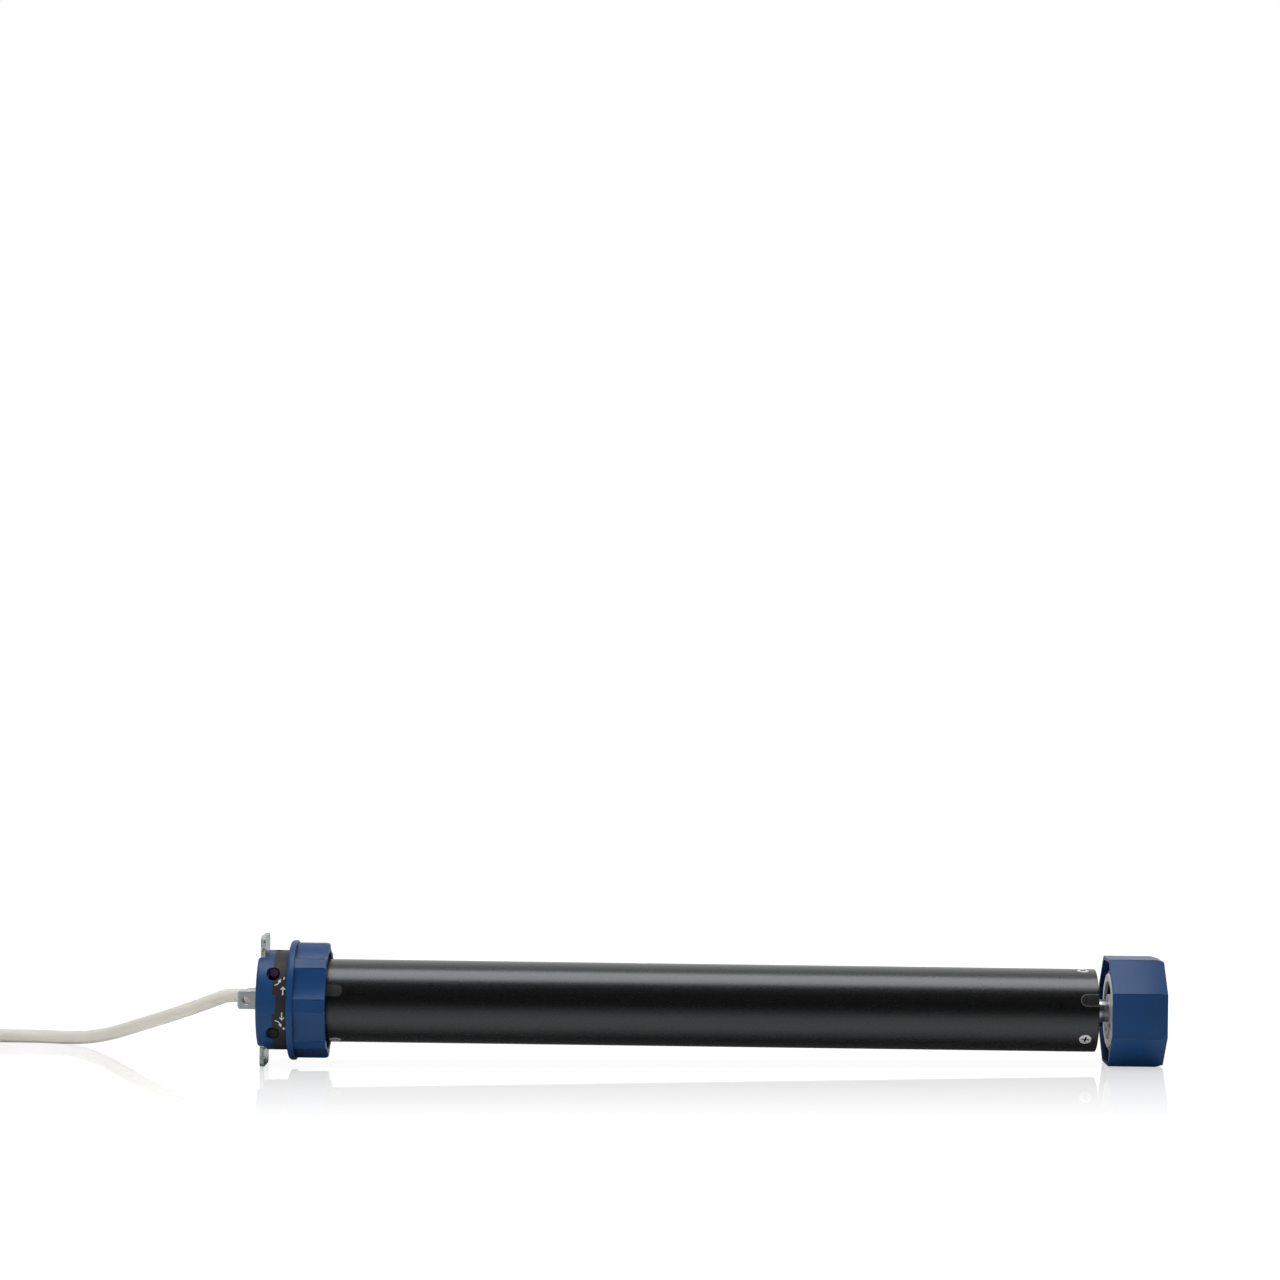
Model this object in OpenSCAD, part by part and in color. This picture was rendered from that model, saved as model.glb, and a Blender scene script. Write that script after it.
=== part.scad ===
// Tubular motor for a roller blind or shutter. The motor, its brake and a three-stage planetary gear train
// lie inside a steel tube. A plate and a square pin hold the head at the left, a crown on the head counts
// the roller's turns, and an octagonal wheel at the right turns the roller.
// Millimetres. X runs along the axis from the head to the wheel, Y points away from the viewer and Z is up.
// The origin is on the axis, at the outer face of the mounting plate.

/* [Tube] */
// Outside diameter of the motor tube
tube_d = 45; // [44:0.1:46]
// Wall of the motor tube
tube_wall = 1; // [0.8:0.1:1.4]
// Length of the motor tube
tube_l = 419.3; // [412:0.1:520]
// Width of the tongue slot at each end of the tube
slot_w = 7; // [5:0.1:9]
// Length of each tongue slot
slot_l = 10.1; // [9:0.1:14]
// Head diameter of the countersunk tube screws
tube_screw_head_d = 7.2; // [6:0.1:8]

/* [Head] */
// Diameter of the end cap and the head ring
head_d = 54.2; // [53.6:0.1:56]
// Wall of the cap and the ring
head_wall = 2.5; // [2:0.1:3]
// Length of the blue end cap
cap_l = 9.1; // [8.8:0.1:12]
// Height of the cap's face above the plate's face
cap_lip = 1.3; // [0.8:0.1:2]
// Rounding of the cap's outer edge
cap_round = 1.4; // [0.5:0.1:2]
// Length of the black head ring
ring_l = 8.1; // [7.6:0.1:12]
// Length of the plug that the tube slides on
plug_l = 37; // [33:0.1:40]
// Diameter of the two setting holes
setting_hole_d = 7.2; // [6.8:0.1:7.8]
// Height of the setting holes above and below the axis
setting_z = 16.3; // [15.8:0.1:16.8]

/* [Plate and pin] */
// Thickness of the mounting plate
plate_t = 2.5; // [2:0.1:3]
// Width of the mounting plate
plate_w = 25; // [20:0.1:25.4]
// Length of the plate from arm tip to arm tip
plate_l = 71; // [66:0.1:80]
// Side of the square pin
pin_side = 10; // [8:0.1:11]
// Length of the pin in front of the plate
pin_l = 13.4; // [12:0.1:20]
// Diameter of the split-pin hole
split_pin_d = 4.5; // [3:0.1:5]
// Distance of the split-pin hole from the plate's face
split_pin_x = 8.5; // [7:0.1:9.4]

/* [Crown] */
// Diameter of the crown's flange
crown_flange_d = 65.2; // [64:0.1:70]
// Thickness of the crown's flange
crown_flange_t = 3.1; // [2:0.1:4]
// Length of the crown behind its flange
crown_body_l = 17.2; // [17:0.1:22]
// Distance of the crown's lobes from the axis
crown_lobe_r = 31.2; // [30.6:0.1:31.8]
// Width of the flat on each lobe
crown_lobe_w = 6.6; // [5:0.1:8]
// Depth of the scoops between the lobes
scoop_depth = 1.4; // [0.8:0.1:1.6]

/* [Drive wheel] */
// Octagon size across flats
wheel_af = 58.1; // [56:0.1:60]
// Length of the drive wheel
wheel_l = 30; // [29:0.1:36]
// Wall of the drive wheel
wheel_wall = 1.8; // [1.2:0.1:2.2]
// Gap between the tube and the wheel
wheel_gap = 6.1; // [4:0.1:10]
// Length of the wheel's lead-in taper
taper_l = 4.2; // [2:0.1:6]
// Depth of the wheel's lead-in taper
taper_depth = 1.1; // [0.5:0.1:1.4]
// Diameter of the output shaft
shaft_d = 12.5; // [11:0.1:13]

/* [Gear train] */
// Module of the planetary gears
gear_m = 0.7; // [0.66:0.01:0.71]
// Teeth of each sun gear
sun_z = 12; // [12]
// Teeth of each planet gear
planet_z = 21; // [21]
// Width of the first stage's planets
stage_1_w = 8; // [6:0.1:10]
// Width of the second stage's planets
stage_2_w = 12; // [10:0.1:14]
// Width of the third stage's planets
stage_3_w = 18; // [14:0.1:20]
// Diameter of the planet pins
planet_pin_d = 4.9; // [3:0.1:6]
// Play between meshing teeth
backlash = 0.12; // [0.1:0.01:0.2]

/* [Motor and brake] */
// Length of the stator's sheet stack
stator_l = 100; // [70:0.1:104]
// Diameter of the rotor
rotor_d = 22; // [20:0.1:23]
// Air gap between the rotor and the stator
air_gap = 0.4; // [0.3:0.05:0.6]
// Diameter of the rotor shaft
rotor_shaft_d = 8; // [7:0.1:8.2]
// Travel of the brake's armature plate
brake_travel = 0.8; // [0.4:0.1:1.2]

/* [Lead] */
// Diameter of the mains lead
cord_d = 7; // [6:0.1:7]
// Loops in each layer of the coil
loops_per_layer = 1.5; // [1.5]
// Layers of the coil
coil_layers = 4; // [4]

/* [Hidden] */
$fn = 64;
// Cuts run past the faces that they open
eps = 0.5;
// Radial clearance of a shaft or pin that turns
turn_fit = 0.05;
// Clearance of pieces that are pushed together
push_fit = 0.1;
// Clearance between turning faces
side_gap = 0.3;
pressure = 25;
addendum = 0.85;
dedendum = 1.1;
planet_count = 3;

// Radii and stations of the head
tube_r = tube_d / 2;
bore_r = tube_r - tube_wall;
fill_r = bore_r - push_fit;
head_r = head_d / 2;
head_in_r = head_r - head_wall;
cap_x0 = -cap_lip;
cap_x1 = cap_x0 + cap_l;
pin_collar_t = 1.5;
pin_collar_r = 0.72 * pin_side;
cap_floor_x = plate_t + pin_collar_t + 1.2;
ring_x1 = cap_x1 + ring_l;
shoulder_t = 2.5;
cap_tongue_l = 1.8;
cap_tongue_half = 10.9;
window_r = 3.5;
boss_r = 1.9;
plate_corner_r = 3;
plate_screw_z = 18.5;
plate_screw_r = 2;
plate_screw_head_r = 3.9;
plate_screw_l = 13;
plate_boss_r = 4;
slot_clock = 20;

// Crown and the limit counter, all in one plane
crown_gap = 0.3;
crown_x0 = ring_x1 + crown_gap;
crown_body_x = crown_x0 + crown_flange_t;
crown_x1 = crown_body_x + crown_body_l;
tube_cover = 1.3;
tube_x0 = crown_x1 - tube_cover;
tube_x1 = tube_x0 + tube_l;
lobes = 8;
count_m = 0.8;
crown_z = 2 * ceil((tube_r + 1.4) / count_m);
pinion_z = 14;
count_z = crown_z - 2 * pinion_z;
pinion_r = count_m * pinion_z / 2;
pinion_seat = count_m * (crown_z - pinion_z) / 2;
crown_tip_r = count_m * (crown_z / 2 - addendum);
crown_root_r = count_m * (crown_z / 2 + dedendum);
land_r = crown_root_r + 0.2;
crown_in_r = land_r + 1.4;
neck_r = tube_r - push_fit;
neck_in_r = neck_r - 2.2;
count_w = 1.8;
count_step = count_w + 0.2;
count_x0 = crown_body_x + 3.9;
count_x1 = count_x0 + 4 * count_step;
count_wall_t = 3.6;
count_post_r = 4;
count_plate_x = count_x1 + side_gap;
count_plate_t = 2.2;
plug_x0 = count_plate_x + count_plate_t;
axle_r = 1.2;
bead_t = 1.2;
bead_r = crown_tip_r + 0.4;
switch_size = [6.5, 12, 5];
switch_clocks = [64, 116];
lug_clock = 100;
lug_w = 4;
lug_reach = 2.7;
lug_in_r = bead_r + 0.4;

// Setting screws
setting_x = cap_x1;
setting_recess = 4.6;
setting_head_r = 3.2;
setting_head_l = 4;
setting_shank_r = 2.2;
setting_y0 = -sqrt(pow(head_r, 2) - pow(setting_z, 2)) + setting_recess;
setting_y1 = -plate_boss_r - 1;
setting_bearing_y = setting_y0 + setting_head_l + side_gap;
setting_block = 2 * (setting_shank_r + 2);
setting_hex_d = 4.6;

// Tube screws: [station, clock angle]
tube_screw_r = 1.9;
tube_screw_depth = 8;
tube_cone_depth = 2;
plug_x1 = tube_x0 + plug_l;
plug_wall = 2.6;
flange_screw_inset = 7;
head_screw_inset = 5.4;
stator_screw_inset = 23.7;
head_screw_clocks = [-70, 110];
flange_screw_clocks = [-39, 81, 201];
stator_screw_clock = 97;

// Gear train, from the tube's right end to the left
ring_z = sun_z + 2 * planet_z;
planet_seat = gear_m * (sun_z + planet_z) / 2;
gear_ratio = 1 + ring_z / sun_z;
ring_tip_r = gear_m * (ring_z / 2 - addendum);
carrier_r = ring_tip_r - 1.5;
flange_l = 42.5;
flange_x0 = tube_x1 - flange_l;
stage_w = [stage_1_w, stage_2_w, stage_3_w];
carrier_t = [4, 5, 8];
planet_lead = 2.3;
planet_gap = 0.6;
stage_l = [for (s = [0:2]) planet_lead + stage_w[s] + planet_gap + carrier_t[s]];
gear_x0 = flange_x0 - planet_gap - stage_l[0] - stage_l[1] - stage_l[2];
planet_x = [
    gear_x0 + planet_lead,
    gear_x0 + stage_l[0] + planet_lead,
    gear_x0 + stage_l[0] + stage_l[1] + planet_lead
];
carrier_x = [for (s = [0:2]) planet_x[s] + stage_w[s] + planet_gap];
planet_pin_r = planet_pin_d / 2;
planet_bore_r = planet_pin_r + turn_fit;
gear_plate_t = 6;
gear_plate_x = gear_x0 - gear_plate_t;
sun_tip_r = gear_m * (sun_z / 2 + addendum);
shaft_r = shaft_d / 2;
bush_r = shaft_r + 2.2;
bush_inset = 0.5;

// Brake, from the gear train to the left
magnet_l = 20;
magnet_x = gear_plate_x - magnet_l;
armature_t = 3.8;
armature_x = magnet_x - brake_travel - 0.2 - armature_t;
brake_disc_t = 4;
brake_disc_x = armature_x - side_gap - brake_disc_t;
brake_r = fill_r - 3.5;
spring_r = 8.8;
spring_wire_r = 0.8;
spring_turns = 6;
spring_pocket_l = 13;
coil_pocket_r = [12, 15.5];
guide_r = 0.9;
guide_seat = brake_r - 0.7;
guides = 3;
coil_pocket_l = 14;

// Motor, from the brake to the left
rotor_shaft_r = rotor_shaft_d / 2;
rotor_r = rotor_d / 2;
stator_bore_r = rotor_r + air_gap;
bearing_r = 11;
bearing_w = 7;
front_shield_t = 14.5;
front_shield_x = brake_disc_x - side_gap - front_shield_t;
winding_l = 14;
stator_x1 = front_shield_x - winding_l - 0.5;
stator_x0 = stator_x1 - stator_l;
rear_shield_t = 13.5;
rear_shield_x = stator_x0 - winding_l - 0.5 - rear_shield_t;
shield_wall = 4;
slots = 12;
slot_size = [5.5, 3];
slot_mouth = 1.2;
slot_seat = stator_bore_r + 1.2;
slot_fit = 0.2;
slot_turn = 180 - stator_screw_clock + 180 / slots;
rotor_play = 1.5;
shaft_x0 = rear_shield_x + 2;

// Capacitor, between the head plug and the motor
capacitor_r = 16;
holder_wall = 2;
holder_end = 4;
holder_flange = 3;
holder_window_inset = 6;
// Room for the wires between the capacitor and the motor
wire_room = 13.1;
holder_x0 = plug_x1;
holder_x1 = rear_shield_x - wire_room;
capacitor_x = holder_x0 + holder_end;
capacitor_l = holder_x1 - holder_end - capacitor_x;

// Drive wheel
wheel_x0 = tube_x1 + wheel_gap;
wheel_x1 = wheel_x0 + wheel_l;
hub_r = 20.2;
hub_ring_t = 4.4;
hub_sleeve_r = 9;
hub_inset = 1;
spoke_w = 5;
spokes = 4;
wheel_ring_t = 1.6;
web_x = wheel_x0 + 15.4;
web_t = 3;
rib_w = 1.5;
rib_inset = 2;
shaft_flat = 0.8 * shaft_d;
shaft_x1 = wheel_x1 - 4.6;
wheel_screw_r = 2.5;
wheel_screw_l = 14;

// The object lies on the lower arm of the plate and on a flat of the wheel
table_rise = (plate_l - wheel_af) / 2 / (wheel_x1 - taper_l - plate_t);
table_tilt = atan(table_rise);
function table_z(x) = -plate_l / 2 + table_rise * (x - plate_t);

// Lead: the route of its free stretch, from the clamp to the coil
cord_r = cord_d / 2;
cord_y = head_in_r - 6.1;
cord_z = 0;
cord_inner_x = cap_x1 + 5;
cord_sides = 10;
grommet_r = cord_r + 1.1;
grommet_nose = 9;
grommet_tail = 2.7;
grommet_lip = 0.8;
route = [
    [-12, 18.5, 0.1],
    [-22, 19.5, -0.4],
    [-32, 22.5, -4.2],
    [-45, 29, -9.4],
    [-60, 40, -15.2],
    [-76, 54, -21.3],
    [-92, 70, -27.4],
    [-108, 86, -31.8],
    [-124, 98, -33.5],
    [-142, 104, -33.8],
    [-164, 106, -33.9]
];
coil_centre = [-218, 61];
coil_r = 38.5;
coil_pitch = 8.6;
coil_sides = 6;
rings_per_loop = 24;
tie_t = 0.8;
tie_w = 12;
tie_gap = 0.3;
tie_angle = 235;
tie_corner_r = 4;
coil_lift = tie_t + tie_gap;
coil_in_r = coil_r - coil_pitch * loops_per_layer / 2;
coil_out_r = coil_r + coil_pitch * loops_per_layer / 2;
layer_turns = loops_per_layer + 0.5;
coil_turns = coil_layers * layer_turns - 0.5;
core_r = 1.2;
core_l = 26;
ferrule_r = 1.5;
ferrule_l = 8;

blue = "#2b4a7c";
black = "#2a2b2c";
zinc = "#c3cac8";
steel = "#b9bcc0";
grey_lead = "#b9b8b2";

// Drawing plane square to the axis: drawn x is Y, drawn y is Z, and extrusions run along X
module axial(x = 0) translate([x, 0, 0]) rotate([90, 0, 90]) children();

// Turned piece from points of [radius, station]
module turned(points) axial() rotate_extrude() polygon(points);

module rod(r, x0, x1) axial(x0) cylinder(r = r, h = x1 - x0);

module sleeve(r_out, r_in, x0, x1) {
    difference() {
        rod(r_out, x0, x1);
        rod(r_in, x0 - eps, x1 + eps);
    }
}

// Turns a piece at the front, on -Y, up by an angle about the axis
module at_clock(angle) rotate([-angle, 0, 0]) children();

// Round bar that points out of the axis between two radii
module spoke_rod(r, from, to, x, clock) {
    at_clock(clock) translate([x, -from, 0]) rotate([90, 0, 0]) cylinder(r = r, h = to - from);
}

module rounded_rect(w, h, r) {
    square([w - 2 * r, h], center = true);
    square([w, h - 2 * r], center = true);
    for (x = [-1, 1], y = [-1, 1]) translate([x * (w / 2 - r), y * (h / 2 - r)]) circle(r);
}

// Involute gear outline with a tooth on the drawn x axis
function involute(a) = tan(a) * 180 / PI - a;
function flank_angle(r, pitch_r, half) = let (base = pitch_r * cos(pressure))
    half + involute(pressure) - (r > base ? involute(acos(base / r)) : 0);
function tooth(z, m, shift, thin, add, ded) =
    let (
        pitch_r = m * z / 2,
        half = ((PI / 2 + 2 * shift * tan(pressure)) * m - thin) / 2 / pitch_r * 180 / PI,
        root = pitch_r + m * (shift - ded),
        tip = pitch_r + m * (shift + add),
        start = max(root, pitch_r * cos(pressure)),
        radii = concat(start > root + 0.05 ? [root] : [], [for (k = [0:2]) start + (tip - start) * k / 2])
    )
    concat(
        [for (r = radii) [r, -flank_angle(r, pitch_r, half)]],
        [for (k = [len(radii) - 1:-1:0]) [radii[k], flank_angle(radii[k], pitch_r, half)]]
    );
module gear_outline(z, m, shift = 0, thin = backlash, add = addendum, ded = dedendum) {
    profile = tooth(z, m, shift, thin, add, ded);
    polygon([
        for (k = [0:z - 1], p = profile) p[0] * [cos(p[1] + k * 360 / z), sin(p[1] + k * 360 / z)]
    ]);
}
// The space that an internal gear leaves: its teeth are the gaps of this outline
module ring_space(z, m) gear_outline(z, m, 0, -backlash, dedendum, addendum);

// Tube swept along points, with its sides laid out from a reference direction that the path never follows
function unit(v) = v / norm(v);
function path_way(path, i) = unit(path[min(i + 1, len(path) - 1)] - path[max(i - 1, 0)]);
function ring_points(p, way, ref, r, sides) =
    let (u = unit(cross(ref, way)), v = cross(way, u))
    [for (k = [0:sides - 1]) p + r * (cos(360 * k / sides) * u + sin(360 * k / sides) * v)];
function tube_faces(rings, sides) = concat(
    [for (k = [1:sides - 2]) [0, k, k + 1]],
    [for (k = [1:sides - 2]) let (last = (rings - 1) * sides) [last, last + k + 1, last + k]],
    [
        for (i = [0:rings - 2], k = [0:sides - 1], half = [0, 1])
            let (a = i * sides + k, b = i * sides + (k + 1) % sides)
            half == 0 ? [a, a + sides, b] : [b, a + sides, b + sides]
    ]
);
module swept(path, r, sides, ref) {
    points = [for (i = [0:len(path) - 1]) each ring_points(path[i], path_way(path, i), ref, r, sides)];
    polyhedron(points, tube_faces(len(path), sides), convexity = 10);
}

// Smooth curve through the points of a list, with some steps between each two
function curve_point(a, b, c, d, t) =
    0.5 * (2 * b + (c - a) * t + (2 * a - 5 * b + 4 * c - d) * t * t + (3 * b - a - 3 * c + d) * pow(t, 3));
function smooth_path(pts, steps) = let (last = len(pts) - 1) concat(
    [
        for (i = [0:last - 1], k = [0:steps - 1])
            curve_point(pts[max(i - 1, 0)], pts[i], pts[i + 1], pts[min(i + 2, last)], k / steps)
    ],
    [pts[last]]
);

// Head: plate, pin and screws
module plate_screw_cone(gap) {
    rod(plate_screw_r + gap, 0, plate_screw_l + gap);
    axial() cylinder(r1 = plate_screw_head_r + gap, r2 = plate_screw_r + gap, h = plate_t - 0.3);
}

module mounting_bracket() {
    color(zinc) difference() {
        axial() linear_extrude(plate_t) difference() {
            rounded_rect(plate_w, plate_l, plate_corner_r);
            square(pin_side + 2 * push_fit, center = true);
        }
        for (side = [-1, 1]) translate([0, 0, side * plate_screw_z]) plate_screw_cone(push_fit);
        translate([0, cord_y, cord_z]) rod(grommet_r + side_gap, -eps, plate_t + eps);
    }
}

module square_pin() {
    chamfer = 1;
    color(zinc) difference() {
        union() {
            translate([-pin_l, -pin_side / 2, -pin_side / 2]) cube([pin_l + plate_t, pin_side, pin_side]);
            rod(pin_collar_r, plate_t, plate_t + pin_collar_t);
        }
        translate([-split_pin_x, 0, 0]) rotate([90, 0, 0])
            cylinder(d = split_pin_d, h = pin_side + 2 * eps, center = true);
        for (turn = [0:90:270]) rotate([turn, 0, 0]) translate([-pin_l, 0, pin_side / 2])
            rotate([0, 45, 0]) cube([chamfer * sqrt(2), 2 * pin_side, chamfer * sqrt(2)], center = true);
    }
}

module bracket_screws() {
    color(steel) for (side = [-1, 1]) translate([0, 0, side * plate_screw_z]) difference() {
        plate_screw_cone(0);
        cross_recess(1.2);
    }
}

// Cross recess of a screw whose head lies at the origin and whose shank runs along X
module cross_recess(depth) {
    for (turn = [0, 90]) rotate([turn, 0, 0]) cube([2 * depth, 0.9, 4.2], center = true);
}

// Head: cap and housing
module ring_sector(r_out, r_in, half, clock) {
    reach = 2 * r_out;
    intersection() {
        difference() {
            circle(r_out);
            circle(r_in);
        }
        rotate(180 - clock) polygon([[0, 0], reach * [1, tan(half)], reach * [1, -tan(half)]]);
    }
}

module setting_cut() {
    for (side = [-1, 1]) translate([setting_x, 0, side * setting_z]) rotate([90, 0, 0]) {
        translate([0, 0, -setting_bearing_y]) cylinder(d = setting_hole_d, h = head_r);
        translate([0, 0, -setting_y1 - side_gap]) cylinder(r = setting_shank_r + turn_fit, h = head_r);
    }
}

// Bearing blocks of the setting screws, between two stations
module setting_blocks(x0, x1) {
    for (side = [-1, 1]) translate([x0, setting_bearing_y, side * setting_z - setting_block / 2])
        cube([x1 - x0, setting_y1 - 1 - setting_bearing_y, setting_block]);
}

module end_cap() {
    rounding = [
        for (a = [0:15:90]) [head_r - cap_round * (1 - sin(a)), cap_x0 + cap_round * (1 - cos(a))]
    ];
    channel_w = plate_w + 2 * push_fit;
    color(blue) difference() {
        union() {
            turned(concat(
                [[0, cap_x0]],
                rounding,
                [[head_r, cap_x1], [head_in_r, cap_x1], [head_in_r, cap_floor_x], [0, cap_floor_x]]
            ));
            axial(cap_x1) linear_extrude(cap_tongue_l) ring_sector(head_r, head_in_r, cap_tongue_half, 0);
            setting_blocks(cap_floor_x, cap_x1);
            spoke_rod(boss_r, head_in_r - 1.5, head_r - 0.4, cap_x1 - boss_r, 90);
        }
        translate([cap_x0 - eps, -channel_w / 2, -head_r - eps])
            cube([plate_t - cap_x0 + eps, channel_w, head_d + 2 * eps]);
        for (side = [-1, 1]) translate([plate_t - eps, -channel_w / 2, side * head_r - 3])
            cube([eps + 0.8, channel_w, 6]);
        rod(pin_collar_r + push_fit, 0, plate_t + pin_collar_t);
        for (side = [-1, 1]) translate([0, 0, side * plate_screw_z])
            rod(plate_screw_r + push_fit, 0, cap_x1 + eps);
        setting_cut();
        translate([0, cord_y, cord_z]) rod(grommet_r + push_fit, cap_x0 - eps, cap_x1 + eps);
        difference() {
            spoke_rod(window_r, head_in_r - eps, head_r + eps, cap_x1, 90);
            spoke_rod(boss_r, 0, head_r + eps, cap_x1 - boss_r, 90);
        }
    }
}

module tongue(x0, x1, gap) {
    w = slot_w - 2 * gap;
    at_clock(slot_clock) translate([0, -tube_r - 2, 0]) rotate([-90, 0, 0]) linear_extrude(6) {
        open_left = x0 < x1;
        way = open_left ? 1 : -1;
        translate([open_left ? x0 : x1 + gap + w / 2, -w / 2]) square([abs(x1 - x0) - gap - w / 2, w]);
        translate([x1 - way * (gap + w / 2), 0]) circle(d = w);
    }
}

module head_housing() {
    color(black) difference() {
        union() {
            sleeve(head_r, head_in_r, cap_x1, ring_x1);
            sleeve(head_in_r + eps, neck_in_r, ring_x1 - shoulder_t, ring_x1);
            sleeve(land_r, neck_in_r, ring_x1, count_x0 - side_gap);
            sleeve(neck_r, neck_in_r, count_x0 - 1, tube_x0);
            sleeve(bead_r, neck_r - 0.5, count_plate_x, count_plate_x + bead_t);
            sleeve(fill_r, fill_r - plug_wall, plug_x0, plug_x1);
            rod(neck_in_r + 0.5, count_x0 - count_wall_t, count_x0);
            rod(count_post_r, count_x0, count_plate_x);
            intersection() {
                sleeve(tube_r, fill_r - 1, tube_x0, tube_x0 + slot_l);
                tongue(tube_x0, tube_x0 + slot_l, push_fit);
            }
            intersection() {
                setting_blocks(cap_x1, ring_x1);
                rod(head_in_r, cap_x1, ring_x1);
            }
            for (side = [-1, 1]) translate([0, 0, side * plate_screw_z])
                rod(plate_boss_r, cap_floor_x, count_x0 - count_wall_t);
        }
        axial(cap_x1 - eps) linear_extrude(cap_tongue_l + eps + push_fit)
            ring_sector(head_r + 1, head_in_r - 1, cap_tongue_half + 0.2, 0);
        for (side = [-1, 1]) translate([0, 0, side * plate_screw_z])
            rod(plate_screw_r + push_fit, 0, plate_screw_l + 1);
        setting_cut();
        spoke_rod(window_r, head_in_r - 3, head_r + eps, cap_x1, 90);
        translate([0, 0, -pinion_seat]) {
            rod(axle_r + turn_fit, count_x0 - count_wall_t - eps, count_x0 + eps);
            rod(pinion_r + count_m + 0.4, count_x0, count_plate_x);
        }
        tube_screw_set(push_fit);
    }
}

module cable_grommet() {
    hole_r = cord_r + side_gap;
    color(grey_lead) translate([0, cord_y, cord_z]) turned([
        [hole_r, cap_x0 - grommet_nose], [hole_r + 0.5, cap_x0 - grommet_nose], [grommet_r, cap_x0 - 1.5],
        [grommet_r, cap_floor_x], [grommet_r + grommet_lip, cap_floor_x + 0.2],
        [grommet_r + grommet_lip, cap_x1], [grommet_r, cap_x1], [grommet_r, cap_x1 + grommet_tail],
        [hole_r, cap_x1 + grommet_tail]
    ]);
}

module cable_clamp() {
    half = 5;
    x0 = ring_x1 - shoulder_t - 2.8;
    y1 = sqrt(pow(head_in_r - side_gap, 2) - pow(cord_z + half, 2));
    color("#d8d8d2") difference() {
        translate([x0, cord_y - half, cord_z - half]) cube([2.8, y1 - cord_y + half, 2 * half]);
        translate([0, cord_y, cord_z]) rod(cord_r + push_fit, 0, ring_x1);
    }
}

// Limit counter: crown, pinion, hunting wheels and switches
module crown_outline(r) {
    step = 360 / lobes;
    edge = atan(crown_lobe_w / 2 / r);
    edge_r = r / cos(edge);
    chord_half = edge_r * sin(step / 2 - edge);
    scoop_r = (pow(chord_half, 2) + pow(scoop_depth, 2)) / 2 / scoop_depth;
    scoop_seat = edge_r * cos(step / 2 - edge) - scoop_depth + scoop_r;
    difference() {
        polygon([
            for (k = [0:lobes - 1], side = [-1, 1])
                edge_r * [cos(k * step + side * edge), sin(k * step + side * edge)]
        ]);
        for (k = [0:lobes - 1]) rotate((k + 0.5) * step) translate([scoop_seat, 0])
            circle(scoop_r, $fn = 128);
    }
}

module limit_crown() {
    flange_r = crown_flange_d / 2;
    rim = crown_flange_t / 2;
    lug_x0 = count_x1 - 2;
    color(blue) difference() {
        union() {
            turned(concat(
                [[0, crown_x0], [flange_r - rim, crown_x0]],
                [for (a = [-60:30:60]) [flange_r - rim * (1 - cos(a)), crown_x0 + rim * (1 + sin(a))]],
                [[flange_r - rim, crown_body_x], [0, crown_body_x]]
            ));
            axial(crown_x0 + 1) linear_extrude(crown_x1 - crown_x0 - 1) crown_outline(crown_lobe_r);
        }
        difference() {
            rod(crown_in_r, crown_x0 + 1.5, crown_x1 + eps);
            rod(crown_in_r + eps, 0, count_x1);
            at_clock(lug_clock) translate([lug_x0, -crown_in_r, -lug_w / 2])
                cube([crown_x1 - lug_x0, crown_in_r - lug_in_r, lug_w]);
        }
        rod(land_r + turn_fit, crown_x0 - eps, count_x0);
        axial(count_x0 - eps) rotate(-90) linear_extrude(count_x1 - count_x0 + eps)
            ring_space(crown_z, count_m);
        rod(crown_tip_r, count_x0, crown_x1 + eps);
    }
    color(blue) at_clock(lug_clock) translate([crown_x1 - 0.5, -crown_in_r + 0.2, -lug_w / 2])
        cube([lug_reach + 0.5, crown_in_r - lug_in_r - 0.2, lug_w]);
}

module limit_pinion() {
    color("#e9e4d4") {
        axial(count_x0 + 0.1) rotate(-90) translate([pinion_seat, 0])
            linear_extrude(count_x1 - count_x0 - 0.2) gear_outline(pinion_z, count_m);
        translate([0, 0, -pinion_seat]) rod(axle_r, count_x0 - count_wall_t, plug_x0);
    }
}

// Counting wheel in one of the four places; the wheels of a pair differ by one tooth
module count_wheel(place, extra) {
    z = count_z + extra;
    color("#e9e4d4") axial(count_x0 + 0.1 + place * count_step) linear_extrude(count_w) difference() {
        rotate(-90 + 180 / z) gear_outline(z, count_m, -extra / 2);
        circle(count_post_r + turn_fit);
        rotate(90 + 180 / z) translate([count_m * count_z / 2 - 2.4, -1]) square([5, 2]);
    }
}
module upper_counter_a() count_wheel(0, 0);
module upper_counter_b() count_wheel(1, 1);
module lower_counter_a() count_wheel(2, 0);
module lower_counter_b() count_wheel(3, 1);

module counter_plate() {
    x0 = count_plate_x;
    color("#d8d8d2") difference() {
        rod(neck_in_r - push_fit, x0, x0 + count_plate_t);
        translate([0, 0, -pinion_seat]) rod(axle_r + turn_fit, x0 - eps, x0 + count_plate_t + eps);
        for (side = [-1, 1]) translate([0, side * 12, 6]) rod(2.5, x0 - eps, x0 + count_plate_t + eps);
    }
}

module limit_switches() {
    foot = count_m * (count_z / 2 + addendum) + 0.6;
    color("#1d1d1f") for (clock = switch_clocks) {
        at_clock(clock) translate([count_x0, -foot - switch_size.z, -switch_size.y / 2])
            cube([switch_size.x, switch_size.z, switch_size.y]);
        spoke_rod(0.9, foot - 0.3, foot + 1, count_x0 + switch_size.x / 2, clock);
    }
}

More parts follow.
